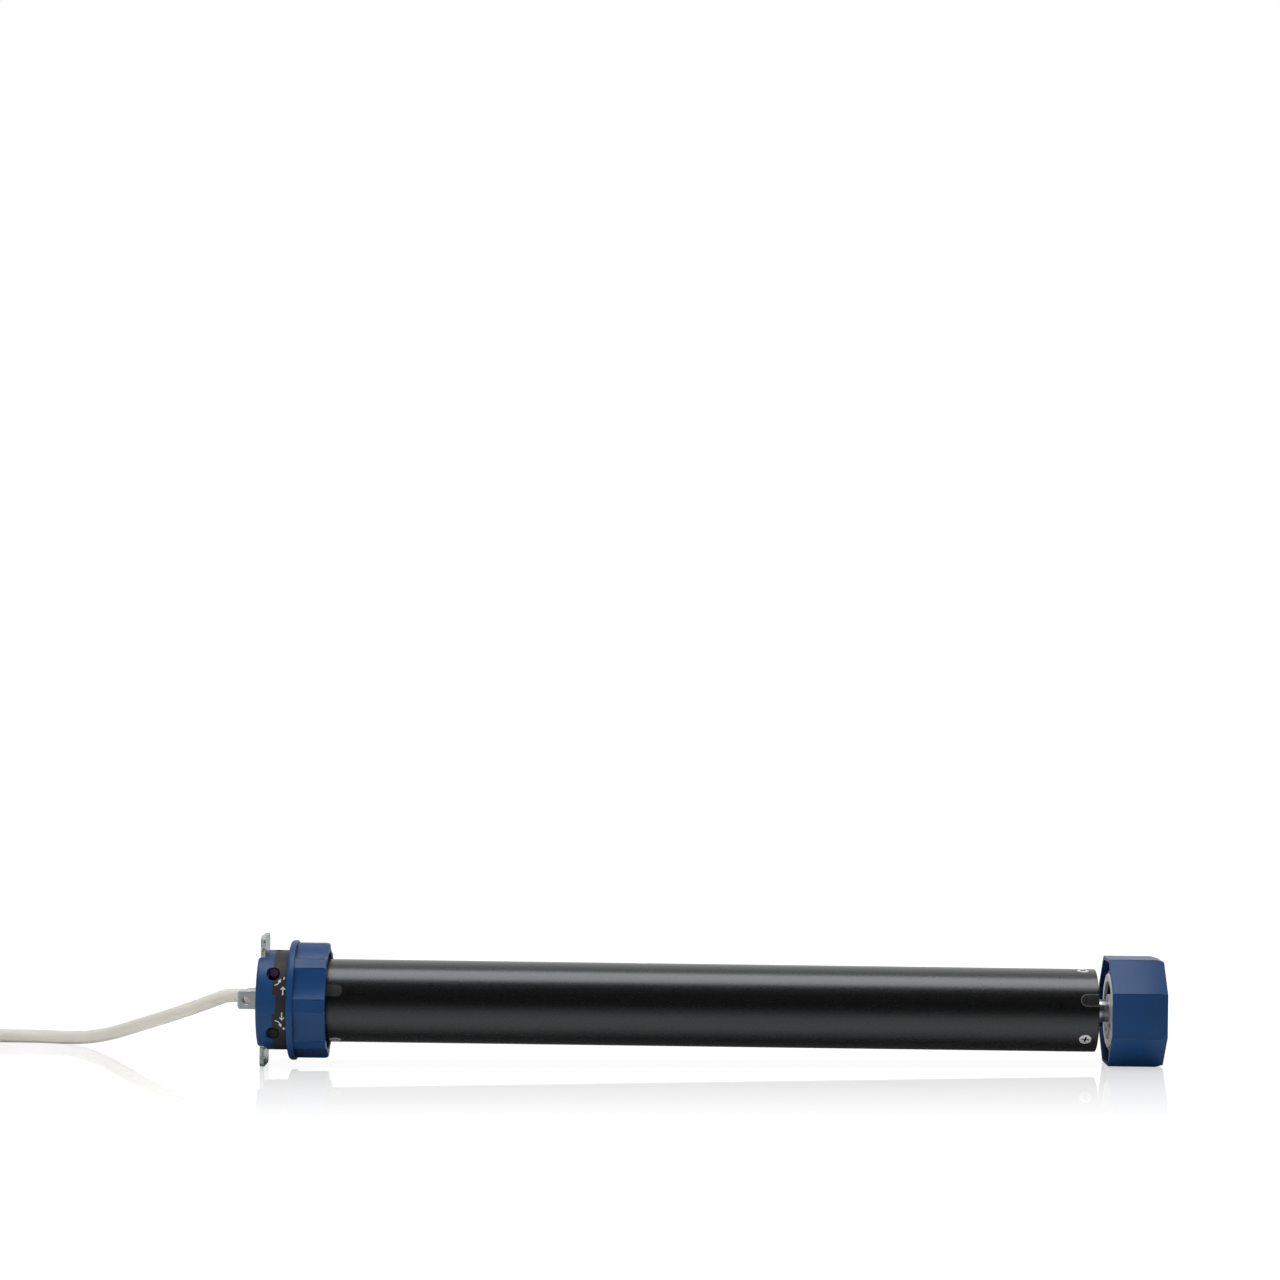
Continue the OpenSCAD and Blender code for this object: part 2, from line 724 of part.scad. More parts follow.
module terminal_block() {
    size = [18, 16, 10.8];
    x0 = tube_x0 + 10.8;
    floor_z = -sqrt(pow(fill_r - plug_wall - 0.2, 2) - pow(size.y / 2, 2));
    color("#cfd3cf") difference() {
        translate([x0, -size.y / 2, floor_z]) cube(size);
        for (k = [-1.5:1:1.5]) translate([0, k * 3.6, floor_z + size.z / 2])
            rod(1.1, x0 - eps, x0 + size.x + eps);
    }
}

module setting_screw(side, shade) {
    color(shade) translate([setting_x, 0, side * setting_z]) rotate([90, 0, 0]) difference() {
        union() {
            translate([0, 0, -setting_y1]) cylinder(r = setting_shank_r, h = setting_y1 - setting_y0);
            translate([0, 0, -setting_y0 - setting_head_l]) cylinder(r = setting_head_r, h = setting_head_l);
        }
        translate([0, 0, -setting_y0 - 2.5]) cylinder(d = setting_hex_d, h = 3, $fn = 6);
    }
}
module upper_limit_screw() setting_screw(1, "#4a2740");
module lower_limit_screw() setting_screw(-1, "#17181a");

// Tube and its screws
module tube_screw(x, clock, gap) {
    at_clock(clock) translate([x, -tube_r - gap, 0]) rotate([-90, 0, 0]) {
        cylinder(d1 = tube_screw_head_d + 2 * gap, d2 = 2 * (tube_screw_r + gap), h = tube_cone_depth);
        cylinder(r = tube_screw_r + gap, h = tube_screw_depth + gap);
    }
}
module tube_screw_set(gap) {
    for (clock = head_screw_clocks) tube_screw(tube_x0 + head_screw_inset, clock, gap);
    for (clock = flange_screw_clocks) tube_screw(tube_x1 - flange_screw_inset, clock, gap);
    tube_screw(stator_x0 + stator_screw_inset, stator_screw_clock, gap);
}

module motor_tube() {
    color(black) difference() {
        sleeve(tube_r, bore_r, tube_x0, tube_x1);
        tongue(tube_x0 - eps, tube_x0 + slot_l, 0);
        tongue(tube_x1 + eps, tube_x1 - slot_l, 0);
        tube_screw_set(push_fit);
    }
}

module screw_recess(x, clock) {
    at_clock(clock) translate([x, -tube_r, 0]) rotate([0, 0, 90]) cross_recess(1.1);
}

module tube_screws() {
    color(steel) difference() {
        tube_screw_set(0);
        for (clock = head_screw_clocks) screw_recess(tube_x0 + head_screw_inset, clock);
        for (clock = flange_screw_clocks) screw_recess(tube_x1 - flange_screw_inset, clock);
        screw_recess(stator_x0 + stator_screw_inset, stator_screw_clock);
    }
}

// Capacitor
module capacitor() {
    x1 = capacitor_x + capacitor_l;
    color("#d9dad6") {
        turned([
            [0, capacitor_x], [capacitor_r - 1, capacitor_x], [capacitor_r, capacitor_x + 1],
            [capacitor_r, x1 - 1], [capacitor_r - 1, x1], [0, x1]
        ]);
        for (side = [-1, 1]) translate([capacitor_x - 3, side * 5 - 0.4, -3.2]) cube([3.5, 0.8, 6.4]);
    }
}

module capacitor_holder() {
    color("#3a3b3d") difference() {
        union() {
            sleeve(fill_r, fill_r - holder_flange, holder_x0, holder_x0 + holder_flange);
            sleeve(fill_r, fill_r - holder_flange, holder_x1 - holder_flange, holder_x1);
            sleeve(capacitor_r + push_fit + holder_wall, capacitor_r + push_fit, holder_x0, holder_x1);
            for (turn = [45:90:315]) at_clock(turn)
                translate([holder_x0, -fill_r + 0.4, -1]) cube([holder_x1 - holder_x0, 3.2, 2]);
        }
        rod(capacitor_r + push_fit, holder_x0 - eps, holder_x1 + eps);
        translate([capacitor_x + holder_window_inset, -fill_r, capacitor_r * 0.55])
            cube([capacitor_l - 2 * holder_window_inset, 2 * fill_r, fill_r]);
    }
}

// Motor
module rear_end_shield() {
    x0 = rear_shield_x;
    x1 = x0 + rear_shield_t;
    color("#a9abab") difference() {
        union() {
            sleeve(fill_r, fill_r - shield_wall, x0, x1);
            rod(fill_r - 1, x0, x0 + shield_wall);
            rod(bearing_r + 3, x0, x1 - 1);
        }
        rod(bearing_r + push_fit, x1 - 1 - bearing_w, x1 + eps);
        rod(rotor_shaft_r + 1, x0 + 1, x1 + eps);
    }
}

module front_end_shield() {
    x0 = front_shield_x;
    x1 = x0 + front_shield_t;
    color("#a9abab") difference() {
        union() {
            sleeve(fill_r, fill_r - shield_wall, x0, x1);
            rod(fill_r - 1, x1 - shield_wall, x1);
            rod(bearing_r + 3, x0 + 1, x1);
        }
        rod(bearing_r + push_fit, x0 - eps, x0 + 1 + bearing_w);
        rod(rotor_shaft_r + 1, x0 - eps, x1 + eps);
    }
}

module bearing(x0) {
    groove = 1;
    difference() {
        sleeve(bearing_r, rotor_shaft_r + turn_fit, x0, x0 + bearing_w);
        for (x = [x0 - eps, x0 + bearing_w - groove])
            sleeve(bearing_r - 2, rotor_shaft_r + 2, x, x + groove + eps);
    }
}

module motor_bearings() {
    color(steel) {
        bearing(rear_shield_x + rear_shield_t - 1 - bearing_w);
        bearing(front_shield_x + 1);
    }
}

module stator_core() {
    color("#70747a") difference() {
        axial(stator_x0) linear_extrude(stator_l) difference() {
            circle(fill_r);
            circle(stator_bore_r);
            for (k = [0:slots - 1]) rotate(slot_turn + k * 360 / slots) {
                translate([slot_seat, -slot_size.y / 2]) square(slot_size);
                translate([stator_bore_r - 1, -slot_mouth / 2])
                    square([slot_seat - stator_bore_r + 1.5, slot_mouth]);
            }
        }
        tube_screw_set(push_fit);
    }
}

module stator_winding() {
    in_r = slot_seat + slot_fit;
    out_r = slot_seat + slot_size.x - slot_fit;
    color("#b56a34") {
        for (x = [stator_x0 - winding_l, stator_x1]) turned([
            [in_r + 1, x], [out_r, x], [out_r + 1.5, x + 2], [out_r + 1.5, x + winding_l - 2],
            [out_r, x + winding_l], [in_r + 1, x + winding_l], [in_r, x + winding_l - 1], [in_r, x + 1]
        ]);
        axial(stator_x0 - 1) linear_extrude(stator_l + 2) for (k = [0:slots - 1])
            rotate(slot_turn + k * 360 / slots) translate([in_r, -slot_size.y / 2 + slot_fit])
                square([out_r - in_r, slot_size.y - 2 * slot_fit]);
    }
}

module rotor_core() {
    x0 = stator_x0 + rotor_play;
    x1 = stator_x1 - rotor_play;
    color("#8c9096") difference() {
        union() {
            rod(rotor_r, x0, x1);
            for (x = [x0 - 4, x1 - 1]) rod(rotor_r - 1.5, x, x + 5);
        }
        rod(rotor_shaft_r + push_fit / 2, x0 - 10, x1 + 10);
    }
}

module rotor_shaft() {
    color(steel) {
        rod(rotor_shaft_r, shaft_x0, gear_x0 - 1);
        rod(gear_m * (sun_z / 2 - dedendum), gear_x0 - 2, carrier_x[0] - side_gap);
        axial(gear_x0 - 0.5) linear_extrude(carrier_x[0] - side_gap - gear_x0 + 0.5)
            gear_outline(sun_z, gear_m);
    }
}

// Brake
module brake_disc() {
    color("#4b4640") difference() {
        rod(brake_r, brake_disc_x, brake_disc_x + brake_disc_t);
        rod(rotor_shaft_r + push_fit / 2, brake_disc_x - eps, brake_disc_x + brake_disc_t + eps);
    }
}

module guide_places() {
    for (k = [0:guides - 1]) rotate([30 + k * 360 / guides, 0, 0]) translate([0, 0, guide_seat]) children();
}

module brake_armature() {
    color("#8f9499") difference() {
        rod(brake_r + 1, armature_x, armature_x + armature_t);
        rod(rotor_shaft_r + 1, armature_x - eps, armature_x + armature_t + eps);
        guide_places() rod(guide_r + side_gap, armature_x - eps, armature_x + armature_t + eps);
    }
}

module brake_magnet() {
    color("#5e6266") difference() {
        union() {
            sleeve(fill_r, rotor_shaft_r + 1.5, magnet_x, magnet_x + magnet_l);
            guide_places() rod(guide_r, armature_x + 0.6, magnet_x + 2);
        }
        sleeve(coil_pocket_r[1], coil_pocket_r[0], magnet_x - eps, magnet_x + coil_pocket_l);
        sleeve(
            spring_r + spring_wire_r + 0.5, spring_r - spring_wire_r - 0.5,
            magnet_x - eps, magnet_x + spring_pocket_l
        );
    }
}

module brake_coil() {
    color("#b56a34") sleeve(
        coil_pocket_r[1] - push_fit, coil_pocket_r[0] + push_fit,
        magnet_x + 0.2, magnet_x + coil_pocket_l - push_fit
    );
}

module brake_spring() {
    x0 = armature_x + armature_t + spring_wire_r + push_fit;
    x1 = magnet_x + spring_pocket_l - spring_wire_r - push_fit;
    steps = 12 * spring_turns;
    path = [
        for (k = [0:steps]) let (a = 360 * spring_turns * k / steps)
            [x0 + (x1 - x0) * k / steps, spring_r * cos(a), spring_r * sin(a)]
    ];
    color(steel) swept(path, spring_wire_r, 6, [1, 0, 0]);
}

// Gear train
module gearbox_plate() {
    color("#5a5d60") sleeve(fill_r, sun_tip_r + 0.5, gear_plate_x, gear_x0);
}

module gear_ring() {
    color("#6c6f73") axial(gear_x0) linear_extrude(flange_x0 - gear_x0) difference() {
        circle(fill_r);
        ring_space(ring_z, gear_m);
    }
}

module gearbox_flange() {
    color(black) difference() {
        union() {
            rod(fill_r, flange_x0, tube_x1);
            intersection() {
                sleeve(tube_r, fill_r - 1, tube_x1 - slot_l, tube_x1);
                tongue(tube_x1, tube_x1 - slot_l, push_fit);
            }
        }
        rod(bush_r + push_fit, flange_x0 - eps, tube_x1 + eps);
        tube_screw_set(push_fit);
    }
}

module output_bush() {
    color("#a8863f") sleeve(bush_r, shaft_r + turn_fit, flange_x0 + bush_inset, tube_x1 - bush_inset);
}

module pin_places() {
    for (k = [0:planet_count - 1]) rotate(k * 360 / planet_count) translate([planet_seat, 0]) children();
}

// Carrier plate of a stage, with the holes of its planet pins
module carrier_plate(stage) {
    axial(carrier_x[stage]) linear_extrude(carrier_t[stage]) difference() {
        circle(carrier_r);
        pin_places() circle(planet_pin_r + push_fit / 2);
    }
}

module carrier_with_sun(stage) {
    color("#7d8186") {
        carrier_plate(stage);
        axial(carrier_x[stage] + carrier_t[stage] - 0.5)
            linear_extrude(carrier_x[stage + 1] - side_gap - carrier_x[stage] - carrier_t[stage] + 0.5)
            gear_outline(sun_z, gear_m);
    }
}
module carrier_1() carrier_with_sun(0);
module carrier_2() carrier_with_sun(1);

module output_carrier() {
    color(steel) difference() {
        union() {
            carrier_plate(2);
            rod(shaft_r, carrier_x[2] + carrier_t[2] - 0.5, wheel_x0 + hub_inset);
            intersection() {
                rod(shaft_r, wheel_x0, shaft_x1);
                translate([wheel_x0, -shaft_r - 1, -shaft_flat / 2])
                    cube([wheel_l, shaft_d + 2, shaft_flat]);
            }
        }
        rod(wheel_screw_r + push_fit, shaft_x1 - wheel_screw_l - 1, shaft_x1 + eps);
    }
}

module planet_pins(stage) {
    x0 = planet_x[stage] - 0.5;
    color(steel) axial(x0) linear_extrude(carrier_x[stage] + carrier_t[stage] - 0.5 - x0)
        pin_places() circle(planet_pin_r);
}
module carrier_1_pins() planet_pins(0);
module carrier_2_pins() planet_pins(1);
module output_pins() planet_pins(2);

module planet(stage, place) {
    color("#8a8d90") axial(planet_x[stage]) rotate(place * 360 / planet_count) translate([planet_seat, 0])
        linear_extrude(stage_w[stage]) difference() {
            gear_outline(planet_z, gear_m);
            circle(planet_bore_r);
        }
}
module planet_1_a() planet(0, 0);
module planet_1_b() planet(0, 1);
module planet_1_c() planet(0, 2);
module planet_2_a() planet(1, 0);
module planet_2_b() planet(1, 1);
module planet_2_c() planet(1, 2);
module planet_3_a() planet(2, 0);
module planet_3_b() planet(2, 1);
module planet_3_c() planet(2, 2);

// Drive wheel
module octagon(af) rotate(22.5) circle(r = af / 2 / cos(22.5), $fn = 8);

module drive_wheel() {
    ring_in_r = hub_r + push_fit;
    inner_af = wheel_af - 2 * wheel_wall;
    color(blue) difference() {
        union() {
            axial(wheel_x0) linear_extrude(wheel_l) difference() {
                octagon(wheel_af);
                octagon(inner_af);
            }
            axial(web_x) linear_extrude(web_t) octagon(inner_af + 0.4);
            sleeve(ring_in_r + wheel_ring_t, ring_in_r, wheel_x0 + rib_inset, wheel_x1 - taper_l);
            axial(wheel_x0 + rib_inset) linear_extrude(wheel_l - rib_inset - taper_l) for (turn = [0:45:315])
                rotate(turn) translate([ring_in_r + 0.3, -rib_w / 2])
                    square([inner_af / 2 - ring_in_r, rib_w]);
        }
        rod(hub_sleeve_r + push_fit, web_x - eps, web_x + web_t + eps);
        for (turn = [0:45:315]) rotate([turn, 0, 0])
            translate([wheel_x1 - taper_l, -wheel_af, wheel_af / 2])
            rotate([0, atan(taper_depth / taper_l), 0]) cube([2 * wheel_l, 2 * wheel_af, wheel_af]);
    }
}

module wheel_hub() {
    x0 = wheel_x0 + hub_inset;
    flat = shaft_flat + 2 * push_fit;
    color("#c9c6c4") difference() {
        union() {
            sleeve(hub_r, hub_r - hub_ring_t, x0, web_x);
            rod(hub_sleeve_r, x0, shaft_x1 - 0.2);
            axial(x0) linear_extrude(web_x - x0) for (k = [0:spokes - 1])
                rotate(k * 360 / spokes) translate([0, -spoke_w / 2]) square([hub_r - 1, spoke_w]);
        }
        intersection() {
            rod(shaft_r + push_fit, x0 - eps, wheel_x1);
            translate([x0 - eps, -wheel_af / 2, -flat / 2]) cube([wheel_l, wheel_af, flat]);
        }
        translate([x0 - eps, -0.7, -hub_r + 1.5]) cube([6, 1.4, 6.5]);
    }
}

module wheel_screw() {
    color(steel) difference() {
        union() {
            rod(wheel_screw_r, shaft_x1 - wheel_screw_l, shaft_x1 + 2);
            rod(hub_sleeve_r - 1.5, shaft_x1, shaft_x1 + 1.2);
            rod(2 * wheel_screw_r, shaft_x1 + 1.2, shaft_x1 + 4);
        }
        translate([shaft_x1 + 4, 0, 0]) cross_recess(1.4);
    }
}

// Lead: free stretch, coil, tie and stripped end
function on_table(p) = [
    coil_centre.x + p.x * cos(table_tilt) - p.z * sin(table_tilt),
    coil_centre.y + p.y,
    table_z(coil_centre.x) + p.x * sin(table_tilt) + p.z * cos(table_tilt)
];
// Place on the coil after some turns: each layer runs in or out, then climbs in its half turn of reversal
function coil_point(turns) =
    let (
        layer = min(floor(turns / layer_turns), coil_layers - 1),
        part = turns - layer * layer_turns,
        run = min(part, loops_per_layer) * coil_pitch,
        climb = max(part - loops_per_layer, 0) * 2,
        r = layer % 2 == 0 ? coil_out_r - run : coil_in_r + run,
        a = 90 + 360 * turns
    )
    [r * cos(a), r * sin(a), coil_lift + cord_r + coil_pitch * (layer + (1 - cos(180 * climb)) / 2)];
coil_run_in = 20;
coil_steps = rings_per_loop * coil_turns;
coil_loops = [for (k = [0:coil_steps]) coil_point(k / rings_per_loop)];
coil_end = coil_loops[coil_steps];
coil_start = coil_loops[0] + [cord_d, 0, 0];
coil_path = [for (p = concat([coil_start], coil_loops, [coil_end + [cord_d, 0, 0]])) on_table(p)];
least_coil_gap = min([
    for (i = [0:coil_steps], j = [i + rings_per_loop / 2:1:coil_steps]) norm(coil_loops[i] - coil_loops[j])
]) - cord_d;
cord_route = concat(
    [[cord_inner_x, cord_y, cord_z], [cap_x0, cord_y, cord_z]],
    route,
    [on_table(coil_start + [coil_run_in, 0, 0]), on_table(coil_start + [push_fit, 0, 0])]
);
function path_length(path) = len(path) < 2 ? 0 : [for (i = [1:len(path) - 1]) norm(path[i] - path[i - 1])]
    * [for (i = [1:len(path) - 1]) 1];
echo(least_coil_gap = least_coil_gap, output_ratio = pow(gear_ratio, 3));
echo(cord_length = path_length(smooth_path(cord_route, 4)) + path_length(coil_path));

module mains_cable() color(grey_lead) swept(smooth_path(cord_route, 3), cord_r, cord_sides, [0, 0, 1]);

module cable_coil() color(grey_lead) swept(coil_path, cord_r, coil_sides, [0, 0, 1]);

module on_table_at_coil() {
    translate([coil_centre.x, coil_centre.y, table_z(coil_centre.x)]) rotate([0, -table_tilt, 0]) children();
}

module cable_tie() {
    w = coil_out_r - coil_in_r + cord_d + 2 * tie_gap;
    h = coil_pitch * (coil_layers - 1) + cord_d + 2 * tie_gap;
    color("#1f2022") on_table_at_coil() rotate(tie_angle) translate([coil_r, tie_w / 2, h / 2 + tie_t])
        rotate([90, 0, 0]) linear_extrude(tie_w) difference() {
            rounded_rect(w + 2 * tie_t, h + 2 * tie_t, tie_corner_r);
            rounded_rect(w, h, tie_corner_r - tie_t);
        }
}

module core_ends() {
    spread = core_r * 1.15;
    color("#7a5a3c") on_table_at_coil() translate(coil_end + [cord_d, 0, 0])
        for (turn = [45:90:315]) rotate([turn, 0, 0]) translate([0, 0, spread * sqrt(2)]) {
            rod(core_r, 0, core_l);
            rod(ferrule_r * 0.7, core_l - eps, core_l + ferrule_l);
        }
}

mounting_bracket();
square_pin();
bracket_screws();
end_cap();
head_housing();
cable_grommet();
cable_clamp();
counter_plate();
limit_switches();
terminal_block();
limit_crown();
limit_pinion();
upper_counter_a();
upper_counter_b();
lower_counter_a();
lower_counter_b();
upper_limit_screw();
lower_limit_screw();
motor_tube();
tube_screws();
capacitor();
capacitor_holder();
rear_end_shield();
front_end_shield();
motor_bearings();
stator_core();
stator_winding();
rotor_core();
rotor_shaft();
brake_disc();
brake_armature();
brake_spring();
brake_magnet();
brake_coil();
gearbox_plate();
gear_ring();
gearbox_flange();
output_bush();
carrier_1();
carrier_1_pins();
carrier_2();
carrier_2_pins();
output_carrier();
output_pins();
planet_1_a();
planet_1_b();
planet_1_c();
planet_2_a();
planet_2_b();
planet_2_c();
planet_3_a();
planet_3_b();
planet_3_c();
drive_wheel();
wheel_hub();
wheel_screw();
mains_cable();
cable_coil();
cable_tie();
core_ends();
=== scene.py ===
"""Looks of a tubular roller blind motor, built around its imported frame.

Sizes in the classes are in millimetres. Finished meshes are in metres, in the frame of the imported
model: X runs along the axis from the head to the drive wheel, Y points away from the viewer and Z
is up. The origin is on the axis, at the outer face of the mounting plate. A clock angle turns
about X, from the front (-Y) upwards, in degrees.
"""

import logging
import math
from dataclasses import dataclass, field
from enum import Enum
from functools import lru_cache
from typing import Protocol, Sequence

import bmesh
import bpy
from mathutils import Matrix, Vector


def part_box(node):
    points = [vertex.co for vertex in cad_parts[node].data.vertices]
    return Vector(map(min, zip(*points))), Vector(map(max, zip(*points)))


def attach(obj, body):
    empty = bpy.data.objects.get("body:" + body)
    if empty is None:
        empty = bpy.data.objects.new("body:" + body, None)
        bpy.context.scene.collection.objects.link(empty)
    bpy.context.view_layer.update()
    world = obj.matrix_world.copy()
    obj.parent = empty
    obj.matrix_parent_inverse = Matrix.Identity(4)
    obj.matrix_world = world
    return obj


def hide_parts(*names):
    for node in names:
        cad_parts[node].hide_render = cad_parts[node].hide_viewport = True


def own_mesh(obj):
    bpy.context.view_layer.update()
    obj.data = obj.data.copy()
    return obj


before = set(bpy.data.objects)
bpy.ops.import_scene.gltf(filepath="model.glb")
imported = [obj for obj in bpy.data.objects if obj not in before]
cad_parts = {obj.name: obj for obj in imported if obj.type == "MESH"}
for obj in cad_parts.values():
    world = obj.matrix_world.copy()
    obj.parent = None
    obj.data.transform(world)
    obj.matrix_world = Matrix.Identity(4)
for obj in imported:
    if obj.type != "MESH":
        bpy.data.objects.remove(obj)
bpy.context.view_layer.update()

MM = 0.001
WHITE = (1.0, 1.0, 1.0, 1.0)
# How far cutters run out of the part
FAR = 40.0
# Sizes that more than one group of pieces uses
PLATE_THICKNESS = 2.5
BOLT_Z = 18.5
BOLT_R = 2.1
CAP_START = -1.3
LEAD_Y = 18.5
TUBE_START = 35.2
Pair = tuple[float, float]
Triple = tuple[float, float, float]
Color = tuple[float, float, float, float]
Socket = bpy.types.NodeSocket
Value = Socket | float | Triple | Color
log = logging.getLogger("roller_motor")


class Way(Enum):
    """Directions that a rod, a prism or a cut runs in."""

    X = (1.0, 0.0, 0.0)
    Y = (0.0, 1.0, 0.0)
    Z = (0.0, 0.0, 1.0)


class Joining(Enum):
    """Ways to combine two closed shapes."""

    CUT = "DIFFERENCE"
    FUSE = "UNION"
    KEEP = "INTERSECT"


class Texture(Enum):
    """Surface patterns of the metals."""

    CAST = "cast"
    BRUSHED = "brushed"
    TURNED = "turned"
    LAMINATED = "laminated"
    WOUND = "wound"
    SINTERED = "sintered"


class Shape:
    """A closed mesh in the making, in millimetres."""

    # Angle in degrees above which an edge of the finished mesh stays sharp
    SHARP = 32.0
    # Segments of a rounded corner
    CORNER_STEPS = 6

    def __init__(self) -> None:
        """Starts with an empty mesh."""
        self.bm = bmesh.new()

    @classmethod
    def turned(cls, outline: Sequence[Pair], steps: int = 96) -> "Shape":
        """Spins an outline a full turn about the axis.

        Args:
            outline: Points as (x, radius). It is closed, unless it starts and ends on the axis.
            steps: Faces around the turn.

        Returns:
            The turned shape.
        """
        shape = cls()
        bm = shape.bm
        points = [bm.verts.new((x, -r, 0.0)) for x, r in outline]
        on_axis = outline[0][1] == 0.0 and outline[-1][1] == 0.0
        ends = points[1:] if on_axis else points[1:] + points[:1]
        for a, b in zip(points, ends):
            bm.edges.new((a, b))
        geom = list(bm.verts) + list(bm.edges)
        bmesh.ops.spin(
            bm, geom=geom, cent=(0, 0, 0), axis=(1, 0, 0), angle=math.tau, steps=steps, use_merge=True
        )
        return shape.tidy()

    @classmethod
    def prism(
        cls, outline: Sequence[Pair], way: Way, start: float, end: float, corner: float = 0.0
    ) -> "Shape":
        """Extrudes a flat outline.

        Args:
            outline: Corners in the two directions other than the way, in the order of X, Y, Z.
            way: Direction of the extrusion.
            start: Place of the first face along the way.
            end: Place of the last face.
            corner: Rounding of the outline's corners.

        Returns:
            The prism.
        """
        shape = cls()
        bm = shape.bm
        spot = {
            Way.X: lambda a, b: (start, a, b),
            Way.Y: lambda a, b: (a, start, b),
            Way.Z: lambda a, b: (a, b, start),
        }[way]
        face = bm.faces.new([bm.verts.new(spot(a, b)) for a, b in outline])
        if corner > 0.0:
            bmesh.ops.bevel(
                bm, geom=list(bm.verts), offset=corner, segments=cls.CORNER_STEPS, profile=0.5,
                affect="VERTICES", material=-1
            )
            face = list(bm.faces)[0]
        shape.extrude(face, Vector(way.value) * (end - start))
        return shape.tidy()

    @classmethod
    def block(cls, low: Triple, high: Triple) -> "Shape":
        """A box between two corners."""
        shape = cls()
        size = Vector(high) - Vector(low)
        place = Matrix.Translation((Vector(low) + Vector(high)) / 2) @ Matrix.Diagonal((*size, 1.0))
        bmesh.ops.create_cube(shape.bm, size=1.0, matrix=place)
        return shape

    @classmethod
    def rod(
        cls, way: Way, foot: Triple, radius: float, length: float, tip: float = -1.0, sides: int = 48
    ) -> "Shape":
        """A round or many-sided rod or cone.

        Args:
            way: Direction of the rod.
            foot: Centre of its first end.
            radius: Radius at the first end.
            length: Length along the way.
            tip: Radius at the far end, or the same radius where it is negative.
            sides: Sides of the rod.

        Returns:
            The rod.
        """
        shape = cls()
        aim = Vector(way.value).to_track_quat("Z", "Y").to_matrix().to_4x4()
        place = Matrix.Translation(Vector(foot) + Vector(way.value) * length / 2) @ aim
        bmesh.ops.create_cone(
            shape.bm, cap_ends=True, segments=sides, radius1=radius, radius2=radius if tip < 0 else tip,
            depth=length, matrix=place
        )
        return shape

    def extrude(self, face: bmesh.types.BMFace, by: Vector, scale: float = 1.0) -> bmesh.types.BMFace:
        """Extrudes one face.

        Args:
            face: The face to extrude.
            by: The move of the new face.
            scale: Size of the new face against the old one, about the axis.

        Returns:
            The new end face.
        """
        made = bmesh.ops.extrude_face_region(self.bm, geom=[face])["geom"]
        verts = [g for g in made if isinstance(g, bmesh.types.BMVert)]
        bmesh.ops.translate(self.bm, vec=by, verts=verts)
        if scale != 1.0:
            bmesh.ops.scale(self.bm, vec=(1.0, scale, scale), verts=verts)
        return [g for g in made if isinstance(g, bmesh.types.BMFace)][0]

    def tidy(self) -> "Shape":
        """Merges doubles and turns all faces outwards."""
        bmesh.ops.remove_doubles(self.bm, verts=self.bm.verts, dist=1e-4)
        bmesh.ops.recalc_face_normals(self.bm, faces=self.bm.faces)
        return self

    def soften(self, width: float, segments: int = 2, angle: float = 30.0) -> "Shape":
        """Rounds every edge that is sharper than an angle in degrees."""
        limit = math.radians(angle)
        sharp = [e for e in self.bm.edges if len(e.link_faces) == 2 and e.calc_face_angle(0.0) > limit]
        bmesh.ops.bevel(
            self.bm, geom=sharp, offset=width, offset_type="OFFSET", segments=segments, profile=0.5,
            affect="EDGES", clamp_overlap=True, material=-1
        )
        return self

    def move(self, by: Triple) -> "Shape":
        """Moves the whole shape."""
        bmesh.ops.translate(self.bm, vec=by, verts=self.bm.verts)
        return self

    def turn(self, angle: float, axis: str = "X") -> "Shape":
        """Turns the whole shape about the origin by an angle in degrees."""
        spin = Matrix.Rotation(math.radians(angle), 3, axis)
        bmesh.ops.rotate(self.bm, cent=(0, 0, 0), matrix=spin, verts=self.bm.verts)
        return self

    def clock(self, angle: float) -> "Shape":
        """Turns a shape that was made at the front to a clock angle."""
        return self.turn(-angle)

    @property
    def geom(self) -> list[bmesh.types.BMVert | bmesh.types.BMEdge | bmesh.types.BMFace]:
        """All vertices, edges and faces."""
        return [*self.bm.verts, *self.bm.edges, *self.bm.faces]

    def repeat(self, count: int) -> "Shape":
        """Copies the shape evenly around the axis."""
        bmesh.ops.spin(
            self.bm, geom=self.geom, cent=(0, 0, 0), axis=(1, 0, 0),
            angle=math.tau * (count - 1) / count, steps=count - 1, use_duplicate=True
        )
        return self

    def join(self, *others: "Shape") -> "Shape":
        """Takes other shapes in as separate closed shells."""
        for other in others:
            mesh = bpy.data.meshes.new("joined")
            other.bm.to_mesh(mesh)
            self.bm.from_mesh(mesh)
            bpy.data.meshes.remove(mesh)
            other.bm.free()
        return self

    def temporary(self, name: str) -> bpy.types.Object:
        """An object of this shape for a Boolean step."""
        mesh = bpy.data.meshes.new(name)
        self.bm.to_mesh(mesh)
        obj = bpy.data.objects.new(name, mesh)
        bpy.context.scene.collection.objects.link(obj)
        return obj

    def combine(self, how: Joining, *others: "Shape") -> "Shape":
        """Combines this shape with others, one after another.

        Args:
            how: What to do with each of them.
            others: The other shapes, which are used up.

        Returns:
            This shape.
        """
        for other in others:
            base = self.temporary("base")
            tool = other.temporary("tool")
            step = base.modifiers.new("step", "BOOLEAN")
            step.operation = how.value
            step.solver = "EXACT"
            step.object = tool
            graph = bpy.context.evaluated_depsgraph_get()
            mesh = bpy.data.meshes.new_from_object(base.evaluated_get(graph))
            self.bm.clear()
            self.bm.from_mesh(mesh)
            other.bm.free()
            for data in (base.data, tool.data, mesh):
                bpy.data.meshes.remove(data)
        bmesh.ops.dissolve_degenerate(self.bm, dist=1e-4, edges=self.bm.edges)
        return self

